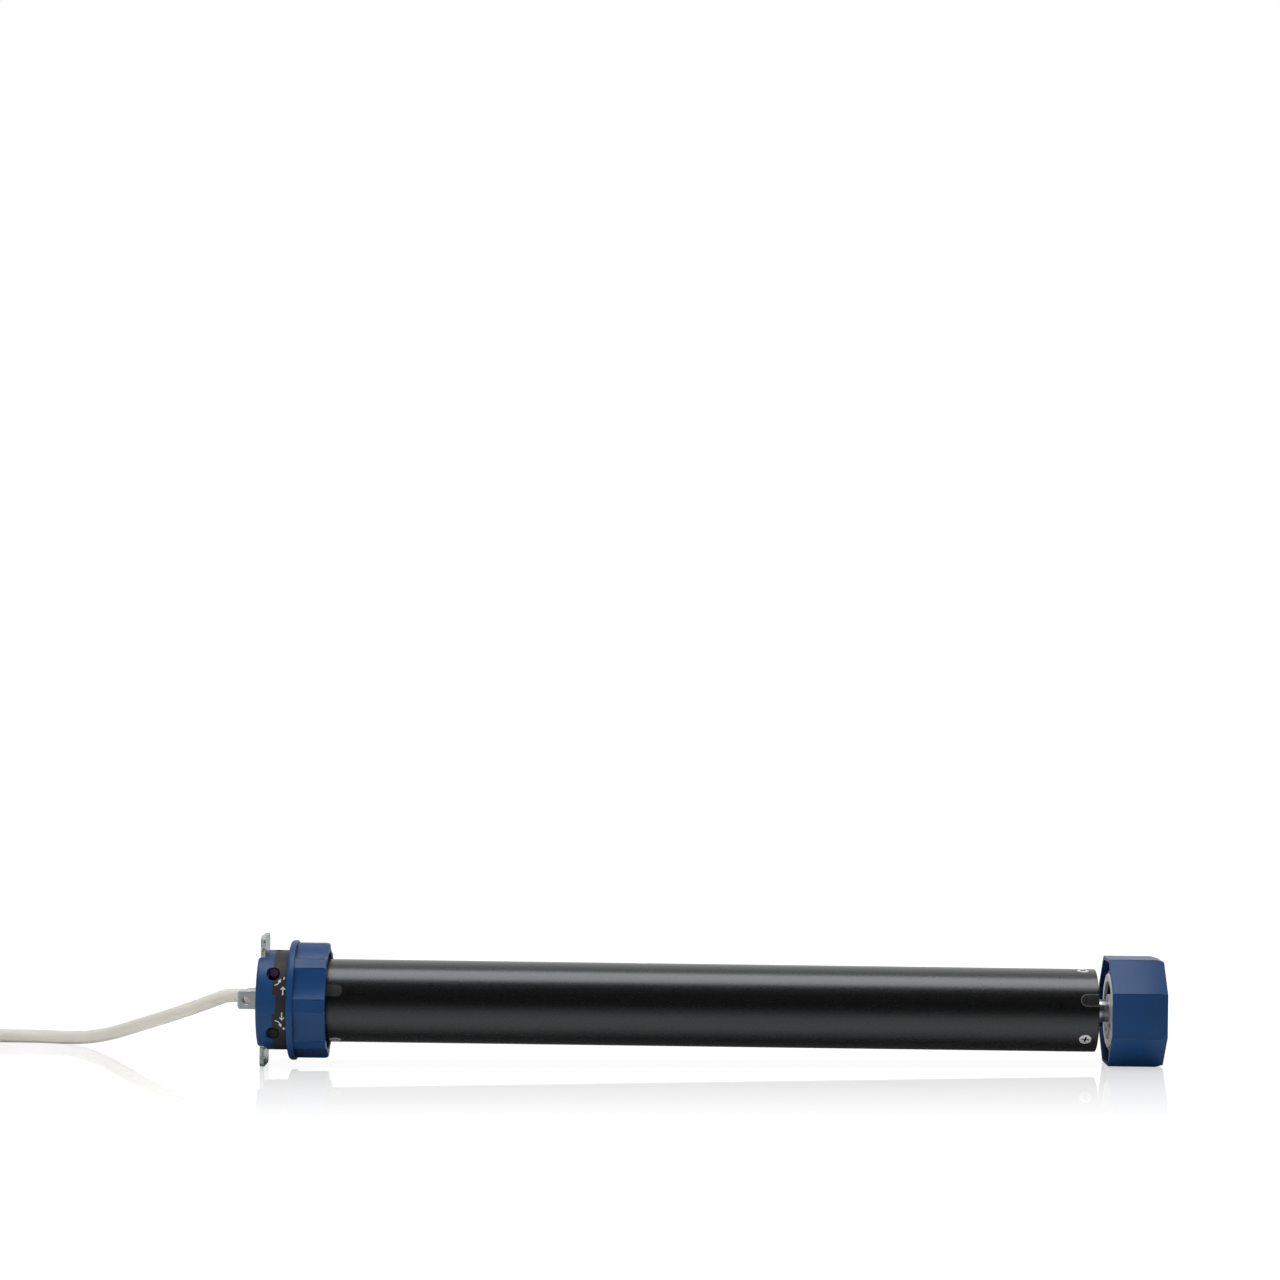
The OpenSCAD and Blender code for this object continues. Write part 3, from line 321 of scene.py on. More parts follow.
    def cut(self, *others: "Shape") -> "Shape":
        """Takes other shapes away from this one."""
        return self.combine(Joining.CUT, *others)

    def fuse(self, *others: "Shape") -> "Shape":
        """Grows this shape by others."""
        return self.combine(Joining.FUSE, *others)

    def keep(self, *others: "Shape") -> "Shape":
        """Keeps what lies inside the others."""
        return self.combine(Joining.KEEP, *others)

    def to_object(self, name: str) -> bpy.types.Object:
        """Makes the finished object of a named piece, in metres and at the origin."""
        bmesh.ops.scale(self.bm, vec=(MM, MM, MM), verts=self.bm.verts)
        mesh = bpy.data.meshes.new(name)
        self.bm.to_mesh(mesh)
        self.bm.free()
        mesh.shade_smooth()
        mesh.set_sharp_from_angle(angle=math.radians(self.SHARP))
        obj = bpy.data.objects.new(name, mesh)
        bpy.context.scene.collection.objects.link(obj)
        evener = obj.modifiers.new("even_normals", "WEIGHTED_NORMAL")
        evener.keep_sharp = True
        graph = bpy.context.evaluated_depsgraph_get()
        obj.data = bpy.data.meshes.new_from_object(
            obj.evaluated_get(graph), preserve_all_data_layers=True, depsgraph=graph
        )
        obj.modifiers.clear()
        bpy.data.meshes.remove(mesh)
        obj.data.name = name
        return obj


class Tree:
    """Node tree of a material or of the world, in the making."""

    def __init__(self, tree: bpy.types.NodeTree) -> None:
        """Takes the tree that gets the nodes."""
        self.nodes = tree.nodes
        self.links = tree.links

    def give(self, socket: Socket, value: Value) -> None:
        """Links a socket to another one, or sets its constant."""
        if isinstance(value, Socket):
            self.links.new(value, socket)
        else:
            socket.default_value = value

    def add(self, kind: str, inputs: dict[str | int, Value]) -> bpy.types.Node:
        """Adds a node.

        Args:
            kind: Type of the node.
            inputs: What its sockets get, by name or number.

        Returns:
            The node.
        """
        node = self.nodes.new(kind)
        for socket, value in inputs.items():
            self.give(node.inputs[socket], value)
        return node

    def calc(self, operation: str, *values: Socket | float) -> Socket:
        """A value worked out from one or two others."""
        node = self.add("ShaderNodeMath", dict(enumerate(values)))
        node.operation = operation
        return node.outputs[0]

    def spread(self, source: Socket, low: float, high: float, edge: Pair = (0.3, 0.7)) -> Socket:
        """Maps a pattern from its usual span to a range of values."""
        names = ("Value", "From Min", "From Max", "To Min", "To Max")
        node = self.add("ShaderNodeMapRange", dict(zip(names, (source, *edge, low, high))))
        return node.outputs["Result"]

    def colors(self, source: Socket, *stops: tuple[float, Triple]) -> Socket:
        """Maps a pattern to colours.

        Args:
            source: The pattern.
            stops: Places on the pattern's scale, each with a colour.

        Returns:
            The colour socket.
        """
        node = self.add("ShaderNodeValToRGB", {"Fac": source})
        marks = node.color_ramp.elements
        while len(marks) < len(stops):
            marks.new(0.5)
        for mark, (spot, color) in zip(marks, stops):
            mark.position = spot
            mark.color = (*color, 1.0)
        return node.outputs["Color"]

    def levels(self, source: Socket, stops: Sequence[Pair]) -> Socket:
        """Maps a value from 0 to 1 to grey levels."""
        return self.colors(source, *((spot, (level, level, level)) for spot, level in stops))

    def mix(self, share: Socket, first: Value, second: Value) -> Socket:
        """Mixes two colours."""
        node = self.nodes.new("ShaderNodeMix")
        node.data_type = "RGBA"
        for socket, value in (("Factor", share), ("A", first), ("B", second)):
            self.give(node.inputs[socket], value)
        return node.outputs["Result"]

    def layer(self, share: Socket, first: Socket, second: Socket) -> Socket:
        """Mixes two shaders."""
        return self.add("ShaderNodeMixShader", {0: share, 1: first, 2: second}).outputs[0]

    def matt(self, color: Value) -> Socket:
        """A matt shader."""
        return self.add("ShaderNodeBsdfDiffuse", {"Color": color}).outputs[0]

    def place(self, kind: str) -> bpy.types.NodeOutputs:
        """One kind of coordinates, split into X, Y and Z."""
        source = self.nodes.new("ShaderNodeTexCoord").outputs[kind]
        return self.add("ShaderNodeSeparateXYZ", {0: source}).outputs

    def direct(self) -> Socket:
        """1 where the camera looks at the place itself, and 0 elsewhere."""
        return self.nodes.new("ShaderNodeLightPath").outputs["Is Camera Ray"]

    def mirrored(self) -> Socket:
        """1 where a mirror image or a clear body shows the place, and 0 elsewhere."""
        path = self.nodes.new("ShaderNodeLightPath").outputs
        return self.calc("ADD", path["Is Glossy Ray"], path["Is Transmission Ray"])


class Bench(Tree):
    """Node tree of one finish in the making."""

    def __init__(self, name: str, constants: dict[str, float | tuple]) -> None:
        """Starts a material.

        Args:
            name: Name of the material.
            constants: Values set on the shader's own sockets.
        """
        self.material = bpy.data.materials.new(name)
        self.material.use_nodes = True
        super().__init__(self.material.node_tree)
        self.shader = self.nodes["Principled BSDF"]
        self.spot = self.nodes.new("ShaderNodeTexCoord").outputs["Object"]
        for socket, value in constants.items():
            self.give(self.shader.inputs[socket], value)

    def noise(self, scale: float, detail: float = 2.0, stretch: Triple | None = None) -> Socket:
        """A soft random pattern, with about this many lumps to the metre."""
        spot = self.spot
        if stretch:
            spot = self.add("ShaderNodeMapping", {"Vector": spot, "Scale": stretch}).outputs["Vector"]
        inputs = {"Vector": spot, "Scale": scale, "Detail": detail}
        return self.add("ShaderNodeTexNoise", inputs).outputs[0]

    def bands(self, pitch: float, rings: bool = False, wobble: float = 0.0) -> Socket:
        """Fine bands along the axis, or rings about it, with a pitch in metres."""
        scale = math.tau / 20 / pitch
        node = self.add("ShaderNodeTexWave", {"Vector": self.spot, "Scale": scale, "Distortion": wobble})
        node.wave_type = "RINGS" if rings else "BANDS"
        node.rings_direction = "X"
        node.bands_direction = "X"
        return node.outputs[1]

    def relief(self, height: Socket, depth: float, below: Socket | None = None) -> Socket:
        """A bump of a depth in metres, on top of another bump where one is given."""
        node = self.add("ShaderNodeBump", {"Height": height, "Distance": depth})
        if below is not None:
            self.give(node.inputs["Normal"], below)
        return node.outputs["Normal"]

    def dress(self, color: Socket, roughness: Socket, normal: Socket) -> bpy.types.Material:
        """Links the three patterns to the shader and returns the material."""
        for socket, source in (("Base Color", color), ("Roughness", roughness), ("Normal", normal)):
            self.give(self.shader.inputs[socket], source)
        return self.material


class Finish(Protocol):
    """Anything that can make a material."""

    def material(self) -> bpy.types.Material:
        """The material of the finish."""
        ...


def shade(color: Triple, by: float) -> Triple:
    """A colour made lighter or darker by a share."""
    return tuple(min(c * (1.0 + by), 1.0) for c in color)


@dataclass(frozen=True)
class Plastic:
    """A moulded plastic with an eroded grain and faint flow marks."""

    name: str
    color: Triple
    roughness: Pair = (0.42, 0.5)
    mottle: float = 0.1
    grain: float = 2400.0
    depth: float = 0.000012
    specular: float = 0.5

    @lru_cache(maxsize=None)
    def material(self) -> bpy.types.Material:
        """The moulded finish."""
        bench = Bench(self.name, {"Specular IOR Level": self.specular})
        flow = bench.noise(38.0, 4.0, (0.5, 1.0, 1.0))
        dark, light = shade(self.color, -self.mottle), shade(self.color, self.mottle)
        color = bench.colors(flow, (0.3, dark), (0.7, light))
        rough = bench.spread(bench.noise(260.0, 3.0), *self.roughness)
        broad = bench.relief(bench.noise(90.0, 1.0), 4 * self.depth)
        return bench.dress(color, rough, bench.relief(bench.noise(self.grain, 2.0), self.depth, broad))


@dataclass(frozen=True)
class Metal:
    """A bare or plated metal with a worked surface."""

    name: str
    color: Triple
    tint: Triple
    roughness: Pair = (0.25, 0.4)
    texture: Texture = Texture.BRUSHED
    pitch: float = 0.0004
    depth: float = 0.00001
    metallic: float = 1.0

    def pattern(self, bench: Bench) -> Socket:
        """The height pattern of the worked surface."""
        if self.texture is Texture.LAMINATED:
            return bench.bands(self.pitch)
        if self.texture is Texture.WOUND:
            return bench.bands(self.pitch, wobble=1.5)
        if self.texture is Texture.TURNED:
            return bench.bands(self.pitch, rings=True, wobble=0.3)
        if self.texture is Texture.BRUSHED:
            return bench.noise(1 / self.pitch, 3.0, (0.12, 1.0, 1.0))
        return bench.noise(1 / self.pitch, 5.0 if self.texture is Texture.CAST else 1.0)

    @lru_cache(maxsize=None)
    def material(self) -> bpy.types.Material:
        """The metal finish."""
        bench = Bench(self.name, {"Metallic": self.metallic})
        cloud = bench.noise(120.0, 4.0)
        height = self.pattern(bench)
        color = bench.colors(cloud, (0.32, self.tint), (0.62, self.color))
        rough = bench.spread(bench.noise(420.0, 4.0), *self.roughness)
        return bench.dress(color, rough, bench.relief(height, self.depth))


@dataclass(frozen=True)
class SatinPaint:
    """Black stoved paint on drawn tube, with fine orange peel and a little dust."""

    name: str
    color: Triple = (0.0034, 0.0034, 0.0037)
    dust: Triple = (0.02, 0.02, 0.021)
    roughness: Pair = (0.265, 0.285)
    specular: float = 0.72
    tint: Triple = (0.945, 0.975, 1.0)
    peel: float = 0.0000014
    grain: float = 0.0000008

    @lru_cache(maxsize=None)
    def material(self) -> bpy.types.Material:
        """The paint."""
        shine = {"Specular IOR Level": self.specular, "Specular Tint": (*self.tint, 1.0)}
        bench = Bench(self.name, shine)
        specks = bench.noise(1500.0, 1.0)
        color = bench.colors(specks, (0.7, self.color), (0.78, self.dust))
        rough = bench.spread(bench.noise(300.0, 4.0, (0.3, 1.0, 1.0)), *self.roughness)
        peel = bench.relief(bench.noise(620.0, 2.0), self.peel)
        fine = bench.relief(bench.noise(2600.0, 1.0), self.grain, peel)
        return bench.dress(color, rough, fine)


@dataclass(frozen=True)
class ZincPlate:
    """Zinc-plated steel plate, smooth on its faces and torn along its sheared edges."""

    name: str
    color: Triple = (0.48, 0.52, 0.515)
    tint: Triple = (0.36, 0.44, 0.45)
    # Dark tone of the sheared edges: torn steel, and painted shade that dims the lit top edges
    torn: Triple = (0.1, 0.1, 0.098)
    metallic: float = 0.3
    roughness: Pair = (0.2, 0.5)
    thickness: float = PLATE_THICKNESS * MM
    edge_width: Pair = (0.0002, 0.00005)
    tear: float = 0.00025
    grain: float = 0.000008

    @lru_cache(maxsize=None)
    def material(self) -> bpy.types.Material:
        """The plated plate."""
        bench = Bench(self.name, {"Metallic": self.metallic})
        half = self.thickness / 2
        off_middle = bench.calc("ABSOLUTE", bench.calc("SUBTRACT", bench.place("Object")["X"], half))
        edge = bench.spread(off_middle, 1.0, 0.0, tuple(half - width for width in self.edge_width))
        tears = bench.noise(1100.0, 3.0, (1.0, 1.0, 0.8))
        faces = bench.colors(bench.noise(70.0, 4.0), (0.35, self.tint), (0.65, self.color))
        # Sheared edges darker all round: torn steel, and partly painted shade
        edges = bench.colors(tears, (0.36, self.torn), (0.54, self.color))
        rough = bench.spread(edge, *self.roughness, (0.0, 1.0))
        grain = bench.relief(bench.noise(1800.0, 3.0), self.grain)
        torn = bench.relief(bench.calc("MULTIPLY", tears, edge), self.tear, grain)
        return bench.dress(bench.mix(edge, faces, edges), rough, torn)


@dataclass(frozen=True)
class Sheath:
    """The soft grey sheath of the mains lead."""

    name: str
    color: Triple = (0.6, 0.58, 0.54)
    grime: Triple = (0.58, 0.56, 0.52)
    roughness: Pair = (0.4, 0.52)
    specular: float = 0.3
    softness: float = 0.9
    soft_scale: float = 0.01
    soft_reach: Triple = (1.0, 0.95, 0.85)
    wave: float = 0.000015
    grain: float = 0.000006

    @lru_cache(maxsize=None)
    def material(self) -> bpy.types.Material:
        """The sheath."""
        bench = Bench(self.name, {
            "Specular IOR Level": self.specular, "Subsurface Weight": self.softness,
            "Subsurface Scale": self.soft_scale, "Subsurface Radius": self.soft_reach
        })
        color = bench.colors(bench.noise(60.0, 4.0), (0.35, self.grime), (0.6, self.color))
        rough = bench.spread(bench.noise(350.0, 3.0), *self.roughness)
        waves = bench.relief(bench.noise(130.0, 1.0), self.wave)
        return bench.dress(color, rough, bench.relief(bench.noise(2600.0, 1.0), self.grain, waves))


BLUE = Plastic("blue_plastic", (0.0068, 0.0445, 0.141), (0.34, 0.42), 0.07, specular=0.26)
BLACK = Plastic("black_plastic", (0.023, 0.023, 0.0235), (0.5, 0.6), 0.12, specular=0.25)
TONGUE = Plastic("glossy_black_plastic", (0.016, 0.016, 0.017), (0.22, 0.32), 0.2)
# Lighter grey for the band on the tongue's outline: painted highlight
TONGUE_HIGHLIGHT = Plastic("highlight_black_plastic", (0.1, 0.1, 0.101), (0.35, 0.5), 0.25)
RUBBER = Plastic("black_rubber", (0.016, 0.016, 0.017), (0.6, 0.75), 0.2, 1500.0, 0.00002, 0.35)
NYLON = Plastic("black_nylon", (0.01, 0.01, 0.011), (0.32, 0.42), 0.15)
# Near-black for pieces set in hollows: painted shade
RECESS_SHADE = Plastic("painted_recess_shade", (0.012, 0.009, 0.009), (0.5, 0.6), 0.2, specular=0.1)
SOCKET = Plastic("grey_nylon", (0.018, 0.018, 0.02), (0.3, 0.4), 0.15)
PURPLE = Plastic("purple_plastic", (0.12, 0.02, 0.1), (0.35, 0.45), 0.12)
GREY = Plastic("grey_plastic", (0.56, 0.57, 0.55), (0.45, 0.55), 0.05)
GLAND = Plastic("lead_gland_grey", (0.5, 0.485, 0.45), (0.45, 0.55), 0.05, specular=0.3)
GEAR = Plastic("gear_plastic", (0.76, 0.73, 0.64), (0.4, 0.5), 0.04)
PRINT = Plastic("white_print", (0.58, 0.58, 0.57), (0.5, 0.62), 0.1, 1800.0, 0.000008)
PAINT = SatinPaint("black_paint")
PLATE = ZincPlate("zinc_plate")
ZINC = Metal(
    "zinc", (0.5, 0.53, 0.54), (0.4, 0.43, 0.44), (0.3, 0.42), Texture.BRUSHED, 0.0005, 0.000015, 0.4
)
STEEL = Metal(
    "bright_steel", (0.68, 0.68, 0.7), (0.58, 0.58, 0.6), (0.16, 0.26), Texture.TURNED, 0.0003, 0.000004
)
SCREW = Metal(
    "screw_steel", (0.74, 0.7, 0.69), (0.6, 0.56, 0.56), (0.3, 0.42), Texture.CAST, 0.0004, 0.00001, 0.4
)
ALLOY = Metal(
    "cast_alloy", (0.6, 0.585, 0.59), (0.48, 0.47, 0.48), (0.38, 0.5), Texture.CAST, 0.0007, 0.00003, 0.5
)
# A lighter copy of the cast alloy for the hub: painted light, as the hub lies in the shade of the wheel
# and tube
HUB_LIT_ALLOY = Metal(
    "hub_alloy_lightened", (0.86, 0.84, 0.85), (0.7, 0.68, 0.69), (0.35, 0.48), Texture.CAST, 0.0007, 0.00003, 0.25
)
IRON = Metal(
    "sheet_iron", (0.26, 0.27, 0.28), (0.17, 0.175, 0.18), (0.4, 0.55),
    Texture.LAMINATED, 0.0005, 0.00002
)
SINTER = Metal(
    "sintered_steel", (0.34, 0.35, 0.36), (0.24, 0.245, 0.25), (0.4, 0.55),
    Texture.SINTERED, 0.0003, 0.00002
)
COPPER = Metal(
    "copper", (0.62, 0.25, 0.1), (0.44, 0.16, 0.06), (0.25, 0.4), Texture.WOUND, 0.0006, 0.00006
)
BRONZE = Metal(
    "bronze", (0.52, 0.36, 0.15), (0.4, 0.27, 0.11), (0.35, 0.5), Texture.SINTERED, 0.0003, 0.00001
)
LEAD = Sheath("grey_lead")


@dataclass
class SubAssembly:
    """A group of pieces that is built and dressed together."""

    def put(
        self, piece: Shape | bpy.types.Object, name: str, body: str, finish: Finish, slot: str,
        *nodes: str
    ) -> bpy.types.Object:
        """Dresses a piece and sets it on its body.

        Args:
            piece: The finished shape, or an object that is in place.
            name: Name of the piece.
            body: Body that it rides on.
            finish: Its finish.
            slot: Material slot of the record. It is not used.
            nodes: Nodes of the frame that it stands for.

        Returns:
            The object.
        """
        obj = piece.to_object(name) if isinstance(piece, Shape) else piece
        obj.data.materials.append(finish.material())
        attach(obj, body)
        if nodes:
            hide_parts(*nodes)
        log.info("%s rides on %s", name, body)
        return obj


@dataclass
class Table:
    """The table that the motor lies on, tilted as the plate's arm and the wheel's flat set it."""

    foot_x: float = 2.5
    foot_z: float = -35.5
    wheel_x: float = 486.4
    wheel_z: float = -29.05

    @property
    def rise(self) -> float:
        """Rise of the table along the motor."""
        return (self.wheel_z - self.foot_z) / (self.wheel_x - self.foot_x)

    @property
    def tilt(self) -> float:
        """Tilt of the table in radians."""
        return math.atan(self.rise)

    @property
    def along(self) -> Vector:
        """Direction of the table along the motor."""
        return Vector((math.cos(self.tilt), 0.0, math.sin(self.tilt)))

    @property
    def up(self) -> Vector:
        """Direction away from the table."""
        return Vector((-math.sin(self.tilt), 0.0, math.cos(self.tilt)))

    def height(self, x: float) -> float:
        """Height of the table at a place along the motor."""
        return self.foot_z + self.rise * (x - self.foot_x)


def quarter_round(left: float, rim: float, rounding: float) -> list[Pair]:
    """Points of a quarter round, from a left face to a rim.

    Args:
        left: Place of the left face along the axis.
        rim: Radius of the rim.
        rounding: Radius of the quarter round.

    Returns:
        The points as (x, radius).
    """
    turns = [math.radians(degrees) for degrees in range(0, 91, 15)]
    return [(left + rounding * (1 - math.cos(a)), rim - rounding * (1 - math.sin(a))) for a in turns]


@dataclass
class Studio:
    """Camera, table top, soft box and surroundings."""

    table: Table
    aim_x: float = 206.2
    distance: float = 1900.0
    rise: float = 199.1
    lens: float = 97.8
    box_size: Pair = (1.5, 0.62)
    box_place: Triple = (0.22, -0.1, 1.0)
    box_level: float = 4.05
    fill_size: Pair = (1.0, 0.7)
    fill_place: Triple = (-0.5, -1.6, 0.42)
    fill_level: float = 3.1
    ambient: float = 0.27
    sight: float = 50.0
    table_half: float = 6.0
    depth: Pair = (-0.5, 0.5)
    board: Color = (0.9, 0.9, 0.9, 1.0)
    faint: Color = (0.16, 0.16, 0.16, 1.0)
    mirror: Pair = (0.345, 0.0)
    mirror_span: Pair = (0.03, 0.28)
    # Painted shade on the board as the motor's gloss sees it, grey levels by depth: dark far in front,
    # darker just under the motor, lighter behind it
    gloss_painted_shade: tuple[Pair, ...] = (
        (0.0, 0.08), (0.36, 0.27), (0.433, 0.7), (0.46, 0.78), (0.474, 0.66), (0.484, 0.48),
        (0.497, 0.62), (0.8, 0.87)
    )
    # The board's own glow for the camera, with painted shade: a little dimmer near the motor than in
    # front and behind
    painted_glow: tuple[Pair, ...] = ((0.0, 0.98), (0.3, 0.93), (0.56, 0.92), (0.68, 0.98), (0.8, 1.0))
    room: tuple[Pair, ...] = ((0.0, 0.02), (0.35, 0.03), (0.6, 0.4), (0.7, 0.6), (0.82, 1.0))

    def camera(self) -> None:
        """Sets the camera level with the table."""
        data = bpy.data.cameras.new("camera")
        data.lens = self.lens
        data.clip_end = self.sight
        obj = bpy.data.objects.new("camera", data)
        bpy.context.scene.collection.objects.link(obj)
        axes = Matrix((self.table.along, self.table.up, Vector((0.0, -1.0, 0.0)))).transposed()
        spot = Vector((self.aim_x, -self.distance, 0.0)) + self.rise * self.table.up
        obj.matrix_world = Matrix.Translation(spot * MM) @ axes.to_4x4()
        bpy.context.scene.camera = obj

    def table_top(self) -> None:
        """Lays the white table top, with a weak mirror image that fades with the distance."""
        bm = bmesh.new()
        spot = Vector((self.table.foot_x, 0.0, self.table.foot_z)) * MM
        axes = Matrix((self.table.along, Vector((0.0, 1.0, 0.0)), self.table.up)).transposed()
        bmesh.ops.create_grid(
            bm, x_segments=1, y_segments=1, size=self.table_half,
            matrix=Matrix.Translation(spot) @ axes.to_4x4()
        )
        mesh = bpy.data.meshes.new("table_top")
        bm.to_mesh(mesh)
        bm.free()
        obj = bpy.data.objects.new("table_top", mesh)
        bpy.context.scene.collection.objects.link(obj)
        obj.data.materials.append(self.table_finish())

    def table_finish(self) -> bpy.types.Material:
        """A board that is bright to the camera and a faint mirror, with painted shade in the motor's
        gloss.
        """
        material = bpy.data.materials.new("white_board")
        material.use_nodes = True
        tree = Tree(material.node_tree)
        tree.nodes.clear()
        place = tree.place("Object")
        depth = tree.spread(place["Y"], 0.0, 1.0, self.depth)
        # Painted shade: in the motor's gloss the board's grey follows its depth
        gloss_shaded_board = tree.matt(tree.levels(depth, self.gloss_painted_shade))
        lit = tree.layer(tree.mirrored(), tree.matt(self.board), gloss_shaded_board)
        # Painted shade: the glow dims near the motor
        painted_glow = tree.add("ShaderNodeEmission", {"Color": tree.levels(depth, self.painted_glow)}).outputs[0]
        white = tree.add("ShaderNodeAddShader", {0: painted_glow, 1: tree.matt(self.faint)}).outputs[0]
        choice = tree.layer(tree.direct(), lit, white)
        gloss = tree.add("ShaderNodeBsdfGlossy", {"Roughness": 0.0, "Color": WHITE}).outputs[0]
        fade = tree.spread(tree.calc("ABSOLUTE", place["Y"]), *self.mirror, self.mirror_span)
        share = tree.calc("MULTIPLY", fade, tree.direct())
        tree.add("ShaderNodeOutputMaterial", {"Surface": tree.layer(share, choice, gloss)})
        return material

    def lamp(self, name: str, size: Pair, place: Triple, level: float) -> bpy.types.Object:
        """Hangs a rectangular lamp that points straight down.

        Args:
            name: Name of the lamp.
            size: Its sides in metres.
            place: Its place in metres.
            level: Radiance of its face.

        Returns:
            The lamp.
        """
        data = bpy.data.lights.new(name, "AREA")
        data.shape = "RECTANGLE"
        data.size, data.size_y = size
        data.energy = level * math.pi * size[0] * size[1]
        obj = bpy.data.objects.new(name, data)
        obj.location = place
        bpy.context.scene.collection.objects.link(obj)
        return obj

    def lamps(self) -> None:
        """Hangs the soft box over the motor, and sets a fill lamp that no reflection shows."""
        self.lamp("soft_box", self.box_size, self.box_place, self.box_level)
        fill = self.lamp("front_fill", self.fill_size, self.fill_place, self.fill_level)
        aim = Vector((self.aim_x * MM, 0.0, 0.0)) - Vector(self.fill_place)
        fill.rotation_euler = aim.to_track_quat("-Z", "Y").to_euler()
        fill.visible_glossy = False

    def surroundings(self) -> None:
        """A white backdrop for camera and table mirror, and a dim room for the motor's gloss."""
        world = bpy.data.worlds.new("studio")
        bpy.context.scene.world = world
        world.use_nodes = True
        tree = Tree(world.node_tree)
        depth = tree.spread(tree.place("Generated")["Y"], 0.0, 1.0, (-1.0, 1.0))
        ambient = (self.ambient, self.ambient, self.ambient, 1.0)
        unseen = tree.mix(tree.mirrored(), ambient, tree.levels(depth, self.room))
        path = tree.nodes.new("ShaderNodeLightPath").outputs
        seen = tree.calc("ADD", path["Is Camera Ray"], path["Is Singular Ray"])
        tree.give(tree.nodes["Background"].inputs["Color"], tree.mix(seen, unseen, WHITE))

    def build(self) -> None:
        """Sets the whole studio."""
        scene = bpy.context.scene
        scene.view_settings.view_transform = "Standard"
        self.camera()
        self.table_top()
        self.lamps()
        self.surroundings()
        log.info("studio is set")


@dataclass
class MainsLead(SubAssembly):
    """The grey mains lead, from the cap to its stripped cores, with the spare length coiled."""

    table: Table = field(default_factory=Table)
    radius: float = 3.75
    exit: Triple = (CAP_START, LEAD_Y, 0.0)
    route: tuple[Triple, ...] = (
        (-12, 18.5, 0.1), (-22, 19.5, -0.4), (-32, 22.5, -4.2), (-45, 29, -9.4), (-60, 40, -15.2),
        (-76, 54, -21.3), (-92, 70, -27.4), (-108, 86, -31.8), (-124, 98, -33.5), (-142, 103.8, -33.8),
        (-164, 105.7, -33.9)
    )
    route_steps: int = 3
    run_in: float = 20.0
    coil_centre: Pair = (-218.0, 61.0)
    coil_out: float = 44.7
    coil_in: float = 31.8
    pitch: float = 8.6
    lift: float = 1.1
    layers: int = 4
    loops: float = 1.5
    points_per_loop: int = 48
    core_colors: tuple[tuple[str, Triple], ...] = (
        ("core_brown", (0.09, 0.035, 0.014)), ("core_black", (0.012, 0.012, 0.012)),
        ("core_blue", (0.02, 0.11, 0.42)), ("core_green", (0.08, 0.3, 0.04))
    )
    core_radius: float = 1.2
    core_length: float = 26.0
    core_seat: float = 1.95
    ferrule_radius: float = 0.74
    ferrule_length: float = 8.0
    ferrule_overlap: float = 0.5

    def on_table(self, p: Triple) -> Vector:
        """A point of the coil, set on the tilted table."""
        x, y = self.coil_centre
        foot = Vector((x, y, self.table.height(x)))
        return foot + p[0] * self.table.along + Vector((0.0, p[1], 0.0)) + p[2] * self.table.up

    def coil_point(self, turns: float) -> Triple:
        """A point of the coil's centre line, before it is set on the table."""
        layer = min(math.floor(turns / 2), self.layers - 1)
        part = turns - 2 * layer
        run = min(part, self.loops) * self.pitch
        climb = max(part - self.loops, 0.0) * 2
        r = self.coil_out - run if layer % 2 == 0 else self.coil_in + run
        a = math.radians(90 + 360 * turns)
        z = self.lift + self.radius + self.pitch * (layer + (1 - math.cos(math.pi * climb)) / 2)
        return r * math.cos(a), r * math.sin(a), z

    def smoothed(self, points: list[Vector], steps: int) -> list[Vector]:
        """A smooth line through points.

        Args:
            points: Points that it passes.
            steps: Points for each stretch between two of them.

        Returns:
            The points of the smooth line.
        """
        last = len(points) - 1
        line = []
        for i in range(last):
            a, b, c, d = points[max(i - 1, 0)], points[i], points[i + 1], points[min(i + 2, last)]
            for k in range(steps):
                t = k / steps
                line.append(
                    0.5 * (2 * b + (c - a) * t + (2 * a - 5 * b + 4 * c - d) * t ** 2
                           + (3 * b - a - 3 * c + d) * t ** 3)
                )
        return line + [points[last]]

    def centre_line(self) -> list[Vector]:
        """The lead's whole centre line, in millimetres."""
        turns = 2 * (self.layers - 1) + self.loops
        count = round(turns * self.points_per_loop)
        loops = [self.coil_point(k / self.points_per_loop) for k in range(count + 1)]
        start = (loops[0][0] + 2 * self.radius, *loops[0][1:])
        run_in = (start[0] + self.run_in, *start[1:])
        seen = [Vector(self.exit), *map(Vector, self.route), self.on_table(run_in), self.on_table(start)]
        end = self.coil_point(turns)
        tail = (end[0] + 2 * self.radius, *end[1:])
        return self.smoothed(seen, self.route_steps) + [self.on_table(p) for p in (*loops, tail)]

    def build(self) -> None:
        """Lays the lead and its cores."""
        line = self.centre_line()
        curve = bpy.data.curves.new("mains_lead", "CURVE")
        curve.dimensions = "3D"
        curve.bevel_depth = self.radius * MM
        curve.bevel_resolution = 6
        curve.use_fill_caps = True
        spline = curve.splines.new("POLY")
        spline.points.add(len(line) - 1)
        for point, spot in zip(spline.points, line):
            point.co = (*(spot * MM), 1.0)
        spline.use_smooth = True
        lead = bpy.data.objects.new("mains_lead", curve)
        bpy.context.scene.collection.objects.link(lead)
        self.put(lead, "mains_lead", "base", LEAD, "grey_lead", "mains_cable", "cable_coil")
        cores = self.cores(line[-1])

    def core_bar(self, span: Pair, radius: float, edge: float, number: int) -> Shape:
        """A core or a ferrule, round the lead's centre line and tilted as the table is.

        Args:
            span: Where it starts and ends, from the end of the lead.
            radius: Its radius.
            edge: Rounding of its edges.
            number: Number of the core.

        Returns:
            The bar, with the lead's end at the origin.
        """
        start, end = span
        bar = Shape.rod(Way.X, (start, 0.0, self.core_seat), radius, end - start, sides=24).soften(edge)
        return bar.turn(45 + 90 * number).turn(-math.degrees(self.table.tilt), "Y")

